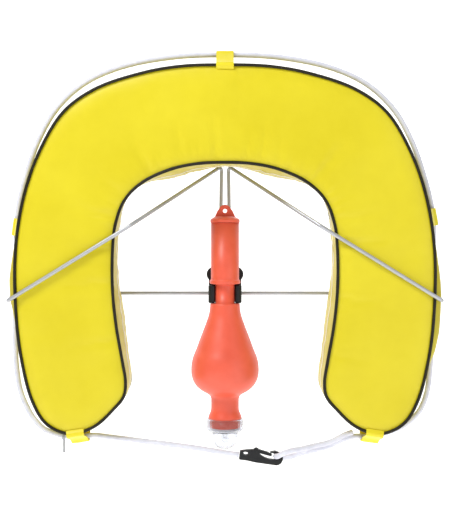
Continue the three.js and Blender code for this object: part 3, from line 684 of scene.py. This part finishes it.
def tightness(loop):
    """How much the cloth puckers at each edge point: most where the outline is hollow, least where round."""
    along = tangents(loop, True)
    turn = np.cross(np.roll(along, 3, 0), np.roll(along, -3, 0))
    return ring_mean(np.clip(turn * 9, -1, 1), 7)


PUCKER = 1.7                     # height of the puckers beside a seam
FOLD = 5.0                       # depth of the folds that run in from a seam
SWELL = 1.2                      # how far the whole panel swells and sinks
HEIGHT_LIMIT = 4.0               # a panel's height levels off above this


def panel_height(points, loop, seed):
    """How far each point of a panel stands above its seams."""
    distance, nearest = edge_distance(points, loop)
    along = round_lengths(loop)
    hollow = tightness(loop)
    rise = CROWN * (1 - (1 - np.clip(distance / CROWN_REACH, 0, 1)) ** 2.2)
    height = np.empty(len(points))
    for k, (x, z) in enumerate(points):
        d, s, tight = distance[k], along[nearest[k]], hollow[nearest[k]]
        pucker = soft_noise(s / 10, seed) + 0.6 * soft_noise(s / 5, seed + 3)
        near = PUCKER * (1 - math.exp(-d / 3)) * math.exp(-d / 15) * (0.75 + 0.65 * tight)
        fold = max(0.0, soft_noise(s / 17, seed + 7) - 0.04) * math.exp(-d / 50) * (1 - math.exp(-d / 9))
        swell = soft_noise(x / 95, z / 95, seed) + 0.5 * soft_noise(x / 38, z / 38, seed + 5)
        inside = min(1.0, d / 30)
        total = rise[k] + near * pucker - FOLD * fold * (0.6 + 0.8 * tight) + SWELL * swell * inside
        height[k] = total if total < HEIGHT_LIMIT else HEIGHT_LIMIT + math.tanh(total - HEIGHT_LIMIT)
    return height


def rope_clearance(loop, normals, line):
    """How far out the grab line's surface is from each edge point, where it runs beside the band."""
    beside = line[np.abs(line[:, 1] - ROPE_Y) < 6][:, [0, 2]] - np.array([0, DATUM_Z])
    beside = beside[::6]
    gap = np.full(len(loop), 99.0)
    for k, (point, out) in enumerate(zip(loop, normals)):
        away = beside - point
        ahead = away @ out
        aside = np.abs(away @ np.array([-out[1], out[0]]))
        near = ahead[(aside < 6) & (ahead > -2) & (ahead < 60)]
        if len(near):
            gap[k] = near.min() - ROPE_R
    return gap


# How far the band stands out: with depth behind the front seam, and beside each leg with datum height.
INNER_SWELL = ((0, 10, 30, 50, 80, 98, 111), (0, 0.35, 0.8, 1.0, 1.0, 0.6, 0))
OUTER_SWELL = ((0, 5, 12, 22, 40, 78, 100, 111), (0, 0.7, 1.0, 0.97, 0.75, 0.75, 0.5, 0))
LEFT_LIP = ((-290, -160, -130, -105, -75, -45, -20, 5, 300),
            (5.0, 2.5, 4.0, 7.0, 12.2, 12.2, 9.0, 6.0, 5.0))
RIGHT_LIP = ((-290, -190, -174, -155, -124, -69, -46, -18, 10, 300),
             (5.0, 4.0, 7.0, 12.0, 14.3, 14.3, 12.0, 8.0, 6.0, 5.0))
LEG_SWELL = ((-250, -225, -207, -185, -107, -77, 0, 30, 60), (1.0, 2.5, 4.4, 6.0, 7.3, 7.0, 5.8, 4.8, 3.0))
TOP_SWELL = ((0, 30, 70, 90, 118, 135, 160), (5.0, 6.0, 8.8, 8.2, 3.4, 1.2, 3.0))


def band_bulge(loop, rope_gap, outer_share):
    """(edge points, depths) distances that the band stands out from the outline, and the depths."""
    share = np.linspace(0, 1, DEEP + 1)
    behind = share * (BACK_Y - FRONT_Y + 2 * SEAM_DROP)
    depths = FRONT_Y - SEAM_DROP + behind
    along = round_lengths(loop)
    hollow = tightness(loop)
    heights = loop[:, 1]
    lip = np.where(loop[:, 0] > 0, np.interp(heights, *RIGHT_LIP), np.interp(heights, *LEFT_LIP))
    outer = lip[:, None] * np.interp(behind, *OUTER_SWELL)[None]
    inside = np.where(heights > 60, np.interp(np.abs(loop[:, 0]), *TOP_SWELL), np.interp(heights, *LEG_SWELL))
    inner = np.interp(behind, *INNER_SWELL)[None] * inside[:, None]
    bulge = outer_share[:, None] * outer + (1 - outer_share[:, None]) * inner
    for k, s in enumerate(along):
        ruck = 0.9 + 1.5 * hollow[k] + 0.5 * (1 - outer_share[k])
        ruck = max(0.25, ruck) * min(1.0, 0.2 + inside[k] / 5 + outer_share[k])
        for m, v in enumerate(share):
            edge = min(1.0, min(v, 1 - v) * 14)
            wave = soft_noise(s / 15, v * 1.3, 2.0) + 0.5 * soft_noise(s / 7, v * 2.5, 4.0)
            broad = soft_noise(s / 70, v * 2, 9.0)
            bulge[k, m] += edge * (0.85 * ruck * wave + 0.9 * broad)
    inside_rope = np.exp(-(((depths - ROPE_Y) / 8.5) ** 4))[None]
    spare = np.maximum(0, bulge - (rope_gap[:, None] - 0.5))
    return np.maximum(bulge - inside_rope * spare, -PIPING_OUT + 0.2 * COVER), depths


def make_cloth(piece, outwards):
    """Turns a surface the right way out and gives it thickness. outwards has a direction for each point."""
    mesh = piece.data
    facing = sum(face.normal.dot(Vector(outwards[face.vertices[0]])) * face.area for face in mesh.polygons)
    if facing < 0:
        mesh.flip_normals()
    surface = piece.modifiers.new("surface", "SUBSURF")
    surface.levels = surface.render_levels = 1
    thicken(piece, COVER, -1)


def make_cover(line):
    """The two panels and the band between them, and what the pieces sewn to them need to know."""
    grid = panel_grid()
    rows, columns = grid.shape[:2]
    indices = edge_loop(grid)
    loop = np.array([grid[i, j] for i, j in indices])
    normals = outward_normals(loop)
    if normals[STATIONS // 2][1] < 0:
        normals = -normals
    points = grid.reshape(-1, 2)
    on_edge = np.zeros(len(points), bool)
    on_edge[[i * columns + j for i, j in indices]] = True
    for side, face_y, sign, seed in (
        ("front", FRONT_Y - SEAM_DROP, -1, 1.0),
        ("back", BACK_Y + SEAM_DROP, 1, 31.0),
    ):
        height = panel_height(points, loop, seed)
        height[on_edge] = 0
        vertices = [(x, face_y + sign * h, z + DATUM_Z) for (x, z), h in zip(leant(points, face_y), height)]
        panel = add_piece(f"{side}_cover", (vertices, grid_faces(rows, columns)), "buoy", "cover_panel",
                          f"{side}_panel")
        make_cloth(panel, np.tile((0, sign, 0), (len(vertices), 1)))
    outer_share = ring_mean(np.array([1.0 if j == 0 else 0.0 for i, j in indices]), 4)
    bulge, depths = band_bulge(loop, rope_clearance(loop, normals, line), outer_share)
    places = leant(loop[:, None] + normals[:, None] * bulge[:, :, None], depths)
    vertices = [(x, y, z + DATUM_Z) for row in places for (x, z), y in zip(row, depths)]
    # The band's cloth carries painted shade: it is the panels' cloth made darker.
    band = add_piece("side_cover", (vertices, grid_faces(len(loop), DEEP + 1, True)), "buoy", "cover_band",
                     "side_band")
    outwards = np.column_stack([normals[:, 0], np.zeros(len(loop)), normals[:, 1]])
    make_cloth(band, outwards.repeat(DEEP + 1, 0))
    return {"loop": loop, "normals": normals, "bulge": bulge, "depths": depths, "indices": indices}


def make_piping(cover):
    """The black piping in the front and back seams: a slightly uneven vinyl bead."""
    ring = np.vstack([cover["loop"], cover["loop"][:1]])
    count = 760
    fade = count // 20
    line = at_lengths(ring, np.arange(count) / count * lengths(ring)[-1])
    for side, y in (("front", FRONT_Y - PIPING_OUT), ("back", BACK_Y + PIPING_OUT)):
        bent = leant(line, y)
        path = np.column_stack([bent[:, 0], np.full(count, y), bent[:, 1] + DATUM_Z])
        swell = [soft_noise(k / 7, y) * 0.14 + soft_noise(k / 2.3, y + 5) * 0.06 for k in range(count)]
        swell = np.array(swell)
        swell[:fade] *= np.linspace(0, 1, fade)
        swell[-fade:] *= np.linspace(1, 0, fade)
        bead = round_rod(path, PIPING_R + swell[:, None], 14, closed=True)
        add_piece(f"{side}_bead", bead, "buoy", "piping_vinyl", f"{side}_piping")


def ribbon(points, out, across, wide, thick):
    """A flat strip with rounded edges: out is its face's direction at each point, across its width's."""
    half = wide / 2
    section = rounded_profile([(-half, 0), (half, 0), (half, thick), (-half, thick)], thick * 0.4)
    rings = np.array([[p + a * u + o * v for u, v in section] for p, o, a in zip(points, out, across)])
    return rings.reshape(-1, 3), capped_faces(len(points), len(section))


def stitch(middle, along, out, long=2.6, radius=0.35):
    """One stitch: a short round thread that dips at both ends."""
    steps = np.linspace(-0.5, 0.5, 6)
    line = np.array([middle + along * long * s + out * (0.32 - 1.6 * s * s) for s in steps])
    return round_rod(line, radius, 5)


TAPE_WIDE, TAPE_THICK = 4.0, 1.0
TAPE_DEPTH = 0.32                # share of the band's depth


def make_inner_tape(cover):
    """A narrow pale tape along the band's inner side."""
    column = round(TAPE_DEPTH * DEEP)
    y = cover["depths"][column]
    rows = [k for k, (i, j) in enumerate(cover["indices"]) if j == ACROSS and 3 < i < STATIONS - 3]
    normals = cover["normals"][rows]
    out = np.column_stack([normals[:, 0], np.zeros(len(rows)), normals[:, 1]])
    line = leant(cover["loop"][rows] + normals * (cover["bulge"][rows, column] - 0.3)[:, None], y)
    points = [(x, y, z + DATUM_Z) for x, z in line]
    tape = ribbon(np.array(points), out, np.tile([0.0, 1.0, 0.0], (len(rows), 1)), TAPE_WIDE, TAPE_THICK)
    add_piece("inner_pale_tape", tape, "buoy", "seam_tape")


STRAP = 1.4
STRAP_WIDE = 27.0
TABS = {                         # where each tab stands, and how far out it holds the line
    "top": ((0, 283), 23), "right": ((315, 52), 12), "left": ((-317, 36), 10),
    "lower_right": ((228, -280), 15), "lower_left": ((-228, -280), 15),
}
BEHIND_PIPING = ("left", "right")  # the other tabs start on top of it


def tab_path(name, rope_out, lip, bulge_at):
    """(out, depth) points of a strap's middle: from the piping, round the line and down onto the band."""
    reach = rope_out + ROPE_R + 0.4 + STRAP / 2
    over = [(-6.2, -3.0), (-4.7, -3.6), (-3.2, -4.5), (-1.6, -5.7), (0, -6.2), (2.9, -5.0), (5, -1.0)]
    behind = [(lip * 0.4 + 1.0, 3.4), (lip * 0.9 + 1.0, 9), (lip + 1.2, 14)]
    return (behind if name in BEHIND_PIPING else over) + [
        (max(rope_out - 2, lip + 1.8), ROPE_DEPTH - 12), (reach - 0.6, ROPE_DEPTH - 5), (reach, ROPE_DEPTH),
        (reach, ROPE_DEPTH + 2), (reach - 2.5, ROPE_DEPTH + 6.5),
        (max(rope_out - 3, bulge_at + 2), ROPE_DEPTH + 14), (bulge_at + 0.9, 62), (bulge_at + 0.6, 72),
        (bulge_at + 0.4, 82),
    ]


def make_tabs(cover):
    """Five straps that hold the line, with the stitches at their rear ends."""
    loop, normals, depths = cover["loop"], cover["normals"], cover["depths"]
    cross = np.linspace(-1, 1, 13)
    for name, (spot, rope_out) in TABS.items():
        k = nearest_index(loop, spot)
        out = np.array([normals[k][0], 0, normals[k][1]])
        along = np.array([out[2], 0, -out[0]])
        at = np.array([loop[k][0], FRONT_Y, loop[k][1] + DATUM_Z])
        around = [(k + step) % len(loop) for step in range(-3, 4)]
        columns = [nearest_index(depths[:, None], [FRONT_Y + depth]) for depth in (15, 70)]
        lip, bulge_at = [max(cover["bulge"][r, column] for r in around) for column in columns]
        path = evenly(smooth_line(tab_path(name, rope_out, lip, bulge_at), 10), 1.6)
        tangent = tangents(path)
        sheet = []
        for i, (p, (across, deeper)) in enumerate(zip(path, tangent)):
            for side in cross:
                u, v = p + np.array([deeper, -across]) * 0.35 * soft_noise(i / 9, side * 1.5, spot[0] / 50)
                width = STRAP_WIDE / 2 * (1 + 0.012 * soft_noise(i / 11, 4.0, spot[0]))
                sheet.append(at + out * u + np.array([0, 1, 0]) * v + along * side * width)
        faces = grid_faces(len(path), len(cross))
        tab = add_piece(f"strap_{name}", (sheet, faces), "buoy", "strap", f"rope_tab_{name}")
        thicken(tab, STRAP, 0)
        round_edges(tab, 0.4, 2, 50)
        make_tab_stitches(name, path, tangent, at, out, along)


def make_tab_stitches(name, path, tangent, at, out, along):
    """A box of stitches at the strap's rear end."""
    inwards = np.array([0, 1, 0])
    where = lengths(path)
    stitches = []

    def sew(place, side, lengthwise):
        i = nearest_index(where[:, None], [place])
        onward = out * tangent[i][0] + inwards * tangent[i][1]
        up = out * tangent[i][1] - inwards * tangent[i][0]
        base = at + out * path[i][0] + inwards * path[i][1] + up * (STRAP / 2 + 0.05)
        stitches.append(stitch(base + along * side, onward if lengthwise else along, up))

    start, stop = where[-1] - 16.0, where[-1] - 2.5
    for place in np.arange(start + 1.3, stop, 3.6):
        sew(place, -10.5, True)
        sew(place, 10.5, True)
    for side in np.arange(-9.0, 9.1, 3.6):
        sew(start, side, False)
        sew(stop, side, False)
    add_piece(f"strap_stitches_{name}", join_geometry(stitches), "buoy", "thread")


# ---- the rack and its clamp

RACK_Z = -72.0
UPRIGHT_FOOT = (8.5, WIRE_BACK_Y, -50)
RACK_TOP = (5.8, WIRE_BACK_Y, 139.8)
RACK_ELBOW = (145, WIRE_FRONT_Y, 36.8)
RACK_FRONT_CORNER = (330, WIRE_FRONT_Y, -77)
RACK_BACK_CORNER = (352, WIRE_BACK_Y, RACK_Z)
BEND_R = 4.5
ROD_STEP = 24.0                  # between the rings of its straight parts


def make_rack():
    """The whole rack as the one bent rod that it is, from clamp to clamp by way of the bar."""
    right = [UPRIGHT_FOOT, RACK_TOP, RACK_ELBOW, RACK_FRONT_CORNER, RACK_BACK_CORNER]
    left = [(-x, y, z) for x, y, z in reversed(right)]
    nodes = [f"rack_{part}_{side}" for part in ("upright", "arm", "side") for side in ("left", "right")]
    rod = round_rod(bent_rod(raised(right + left), BEND_R, ROD_STEP), WIRE_R, 20)
    add_piece("rack_rod", rod, "rack", "rack_steel", *nodes, "rack_bar")


CLAMP_TOP, CLAMP_BOTTOM = -28.0, -86.0
CLAMP_HALF, LOBE_HALF, LOBE_R = 27.0, 30.5, 12.0
CLAMP_FRONT_Y = -32.0
FORK_TIP_Y = LIGHT_Y - 9
FORK_OUT = 27.0
NECK_R = 16.0
NECK_TOP, NECK_BOTTOM = -56.0, -87.0


def make_clamp():
    """The clamp's two blocks, and the fork's two jaws round the light's neck."""
    right = [(CLAMP_HALF - 4, CLAMP_BOTTOM), (CLAMP_HALF - 1.2, CLAMP_BOTTOM + 1.2),
             (CLAMP_HALF, CLAMP_BOTTOM + 4), (CLAMP_HALF, CLAMP_TOP - 2 * LOBE_R)]
    right += arc(LOBE_HALF - LOBE_R, CLAMP_TOP - LOBE_R, LOBE_R, -45, 90, 14)
    outline = at_datum(right + [(-x, z) for x, z in reversed(right)])
    for side, y_front, y_back, edge in (
        ("front", CLAMP_FRONT_Y, WIRE_BACK_Y - 0.15, 1.2),
        ("back", WIRE_BACK_Y + 0.15, 0.0, 0.8),
    ):
        add_piece(f"clamp_block_{side}", slab_geometry(outline, y_front, y_back), "rack", "black_nylon",
                  f"clamp_{side}", edges=(edge,))
    inner, root = NECK_R + 0.3, CLAMP_FRONT_Y + 1
    section = [(inner, root), (FORK_OUT, root), (FORK_OUT, FORK_TIP_Y + 6), (FORK_OUT - 0.8, FORK_TIP_Y + 3.2),
               (FORK_OUT - 3.0, FORK_TIP_Y + 0.8), (FORK_OUT - 6, FORK_TIP_Y), (inner + 2, FORK_TIP_Y),
               (inner + 0.4, FORK_TIP_Y + 0.8), (inner, FORK_TIP_Y + 2.4)]
    low, high = NECK_BOTTOM + 1 + DATUM_Z, NECK_TOP - 1 + DATUM_Z
    for side, sign in (("left", -1), ("right", 1)):
        points, faces = slab_geometry([(sign * x, y) for x, y in section], low, high)
        upright = [(x, y, z) for x, z, y in points]
        add_piece(f"clamp_jaw_{side}", (upright, faces), "rack", "black_nylon", edges=(1.6,))


# ---- the snap hook

HOOK_AT = (22.0, -318.0)
HOOK_TILT = -0.12
HOOK_THICK = 8.0
BOW = (57.3, 2.0, 10.6)          # x, height and radius in the hook's own plane
THROAT = (56.4, 4.9, 5.0)
PIVOT = (25.6, 9.8)
CHEEK = 0.7


def hook_slab(outline, y_front, y_back):
    """A slab of an outline in the hook's own plane."""
    vertices, faces = slab_geometry(outline, y_front, y_back)
    c, s = math.cos(HOOK_TILT), math.sin(HOOK_TILT)
    placed = [(HOOK_AT[0] + c * x - s * z, y + HOOK_Y, HOOK_AT[1] + DATUM_Z + s * x + c * z)
              for x, y, z in vertices]
    return placed, faces


def make_hook():
    half = HOOK_THICK / 2
    outline = [(0.4, -5.6), (1.2, -6.4), (13.5, -6.4), (26, -7.8), (54, -8.4)]
    outline += arc(*BOW, -81, 61, 20)
    outline += [(54.5, 13.2), (48.2, 11.5), (47, 10.9), (46.9, 10.3), (48.2, 10.0), (52.8, 9.3)]
    outline += arc(*THROAT, 122, -90, 18)
    outline += [(46, 0), (42.6, 0.7), (39.4, 1.6), (36.2, 2.8), (34, 4), (32, 5.2), (21.6, 5.2), (21.6, 11.4),
                (20.8, 11.8), (11.6, 9.9), (1.2, 7.4), (0.4, 6.6)]
    body = add_piece("snap_hook", hook_slab(outline, -half, half), "buoy", "black_nylon", "snap_hook_body")
    hole = [(9.6 + 1.6 * x, 4.4 + z) for x, z in arc(0, 0, 2.4, 0, 345, 23)]
    bored(body, hook_slab(hole, -HOOK_THICK, HOOK_THICK))
    round_edges(body, 1.1, 3, 40)
    cheek = [(19, 3), (33, 3), (31.6, 6)] + arc(*PIVOT, 4.4, 0, 153, 14) + [(19, 9)]
    plates = join_geometry([hook_slab(cheek, -half - 0.05, CHEEK - half),
                            hook_slab(cheek, half - CHEEK, half + 0.05)])
    add_piece("hook_cheeks", plates, "buoy", "black_nylon", edges=(0.3, 2, 40))
    gate = [(27.2, 6.6), (31, 6.8), (44, 4.9), (49.4, 4.3), (50.2, 5.1), (50.2, 7.6), (49.6, 8.4), (46, 9),
            (44.6, 10), (32.1, 12.2)]
    gate = hook_slab(gate + arc(*PIVOT, 3.6, 72, 270, 14), 1 - half, half - 1)
    add_piece("snap_gate", gate, "hook_gate", "black_nylon", "snap_hook_gate", edges=(0.6, 2, 40))
    pin = hook_slab(arc(*PIVOT, 1.3, 0, 345, 15), -half - 0.3, half + 0.3)
    add_piece("gate_pin", pin, "hook_gate", "black_nylon", edges=(0.3, 2, 40))


# ---- the rescue light

TUBE_R, CAP_Z, WALL = 22.8, 44.0, 3.0
FLOAT_FOOT = -287.0


def float_profile():
    bulb = [(23.8, -87), (26, -104), (32.7, -123.7), (39.7, -142), (46.7, -161), (52.2, -175), (54.8, -190),
            (53.7, -206), (48.1, -218), (38.7, -227), (29.4, -232.4), (24.4, -236.2), (22.6, -241.5)]
    waist = [(22.6, -241.5), (22.5, -250), (22.9, -260), (25.0, -266), (26.8, -270)]
    outer = [(TUBE_R, CAP_Z), (TUBE_R, -47.6), (24.6, -49.6), (25.0, -52), (24.4, -54.8), (NECK_R, NECK_TOP),
             (NECK_R, NECK_BOTTOM + 0.4)]
    outer = rounded_profile(outer, 1.0, closed=False)
    smooth_bulb = [tuple(p) for p in evenly(smooth_line(bulb, 12), 2.2)]
    smooth_waist = [tuple(p) for p in evenly(smooth_line(waist, 8), 1.8)][1:]
    lip = [(27.0, -272.8), (26.4, -273.3), (24, -273.3), (24, FLOAT_FOOT + 0.6), (23.4, FLOAT_FOOT),
           (20, FLOAT_FOOT)]
    inside = [(20, -236), (36, -223), (50, -204), (50, -184), (36, -142), (23, -104), (20.5, -92),
              (NECK_R - 2.3, -90), (NECK_R - 2.3, -53), (TUBE_R - WALL, -47), (TUBE_R - WALL, CAP_Z)]
    return outer + smooth_bulb + smooth_waist + lip + inside


def make_float():
    profile = float_profile()
    shell = turned_points(profile, 112), grid_faces(len(profile), 112, True, True)
    add_piece("float_shell", shell, "light", "float_orange", "float_body")


LUG_HOLE = 63.5
CAP_SPIGOT = TUBE_R - WALL - 0.3  # the cap's part inside the tube


def make_end_cap():
    """The cap with its groove for the seal, and the flat lug on top with its hole."""
    top = rounded_profile([(0, 54.4), (17, 54.0), (22.6, 50.4), (23.9, 48.6), (23.9, CAP_Z + 0.3),
                           (CAP_SPIGOT, CAP_Z + 0.3), (CAP_SPIGOT, 41), (18, 41), (18, 37), (CAP_SPIGOT, 37),
                           (CAP_SPIGOT, 33), (16.5, 33), (16.5, 46), (0, 46)], 0.7, closed=False)
    add_piece("end_cap_shell", turned_solid(top, 96), "end_cap", "float_orange", "end_cap")
    right = [(17.5, 52), (15, 57.6), (12.4, 63.3)] + arc(0, LUG_HOLE, 10, 45, 90, 8)
    outline = at_datum(right + [(-x, z) for x, z in reversed(right[:-1])])
    slab = slab_geometry(outline, LIGHT_Y - 2.5, LIGHT_Y + 2.5)
    lug = add_piece("end_cap_lug", slab, "end_cap", "float_orange")
    hole = at_datum(arc(0, LUG_HOLE, 3.4, 0, 345, 23))
    bored(lug, slab_geometry(hole, LIGHT_Y - 10, LIGHT_Y + 10))
    round_edges(lug, 0.9, 3, 40)


def make_lens():
    """The clear lens: a ribbed collar over the float's neck, and a dome."""
    collar = rounded_profile([(24.3, -273.6), (28.6, -273.9), (29.2, -275), (29.2, -289.4), (28.4, -291.6),
                              (26.4, -293.6), (21.4, -294)], 0.8, closed=False)
    dome = [(21.2, -295.2), (21.0, -300), (20.4, -306), (18.9, -312), (15.6, -317.4), (10.6, -321.4),
            (5.2, -323.2), (0, -323.6)]
    dome = evenly(smooth_line(dome, 8), 1.6)
    inner = [(0, -321.4), (5, -321.0), (10, -319.2), (14.4, -315.8), (17.2, -310.8), (18.4, -305),
             (18.8, -299)]
    inner = evenly(smooth_line(inner, 8), 1.8)

    def ribs(profile, angles):
        out = (profile[:, :1] > 28.0) & (profile[:, 1:] < -274.5) & (profile[:, 1:] > -291)
        return out * 0.4 * np.abs(np.cos(18 * angles))[None]

    outer_side = np.vstack([collar, dome[:-1]])
    inner_side = np.vstack([inner[1:], [(18.9, -292), (26.4, -291), (27, -289), (27, -275)]])
    count = 216
    outside, inside = turned_points(outer_side, count, ribs), turned_points(inner_side, count)
    first_inner = len(outside)
    faces = grid_faces(len(outer_side), count, False, True)
    faces += grid_faces(len(inner_side), count, False, True, first_inner)
    tips = [(0, LIGHT_Y, dome[-1][1] + DATUM_Z), (0, LIGHT_Y, inner[0][1] + DATUM_Z)]
    tip = first_inner + len(inside)
    faces += fan(first_inner - count, count, tip) + fan(first_inner, count, tip + 1)
    rim = tip - count
    faces += [(rim + k, rim + (k + 1) % count, (k + 1) % count, k) for k in range(count)]
    add_piece("lens_dome", (np.vstack([outside, inside, tips]), faces), "lens", "lens_clear", "lens")


def make_lamp():
    """The white holder, and the lamp in it: glass, base, two wires and a coiled filament."""
    holder = rounded_profile([(0, -283.6), (18, -283.6), (18, -288.6), (7.4, -288.6), (7, -296), (4.3, -296),
                              (4.3, -290), (0, -290)], 0.5, closed=False)
    add_piece("lamp_socket", turned_solid(holder, 64), "light", "holder_white", "lamp_holder")
    bulb = smooth_line([(4.0, -297), (4.4, -300), (5.8, -303.6), (5.9, -307), (4.2, -310.4), (1.6, -311.9)], 8)
    bulb = [(0, -296.6), (4.0, -296.8), *evenly(bulb, 0.9), (0, -312.1)]
    add_piece("lamp_bulb", turned_solid(bulb, 48), "light", "lamp_glass", "lamp")
    base = rounded_profile([(0, -290.4), (3.9, -290.4), (3.9, -296.2), (0, -296.2)], 0.4, closed=False)
    add_piece("lamp_base", turned_solid(base, 48), "light", "lamp_filament")
    on_axis = np.array([0, LIGHT_Y, DATUM_Z])
    wires = []
    for sign in (-1, 1):
        points = [(sign * 1.1, 0, -296.4), (sign * 1.3, 0, -300), (sign * 1.9, 0, -305.2)]
        wires.append(round_rod(evenly(smooth_line(points, 10), 0.8) + on_axis, 0.22, 6))
    turns = np.linspace(0, 1, 80)
    angles = turns * 50
    coil = np.stack([-1.9 + 3.8 * turns, 0.45 * np.cos(angles), -305.2 + 0.45 * np.sin(angles)], axis=1)
    wires.append(round_rod(coil + on_axis, 0.12, 5))
    add_piece("lamp_wires", join_geometry(wires), "light", "lamp_filament")


# ---- what stays as packed

KEPT = {
    "foam_cells": ("foam_front", "foam_back"),
    "tie_nylon": ("rope_tie",),
    "screw_steel": ("clamp_screw_upper", "clamp_screw_lower", "tilt_switch_ball", "battery_spring"),
    "seal_rubber": ("end_cap_seal", "lead_left", "lead_right"),
    "holder_white": ("lens_seal",),
    "inner_black": ("battery_sleeve", "tilt_switch_tube"),
    "cell_case": ("battery_cell_lower", "battery_cell_upper"),
    "contact_brass": ("base_contact",),
}


def paint_kept_nodes():
    for material, nodes in KEPT.items():
        for node in nodes:
            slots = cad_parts[node].data.materials
            slots.clear()
            slots.append(PAINTS[material])


make_camera()
PAINTS = {name: kind(name, *facts) for kind, name, *facts in MATERIALS}
rope_line = make_grab_line()
make_lights()
make_floor()
cover = make_cover(rope_line)
make_piping(cover)
make_inner_tape(cover)
make_tabs(cover)
make_rack()
make_clamp()
make_hook()
make_float()
make_end_cap()
make_lens()
make_lamp()
paint_kept_nodes()
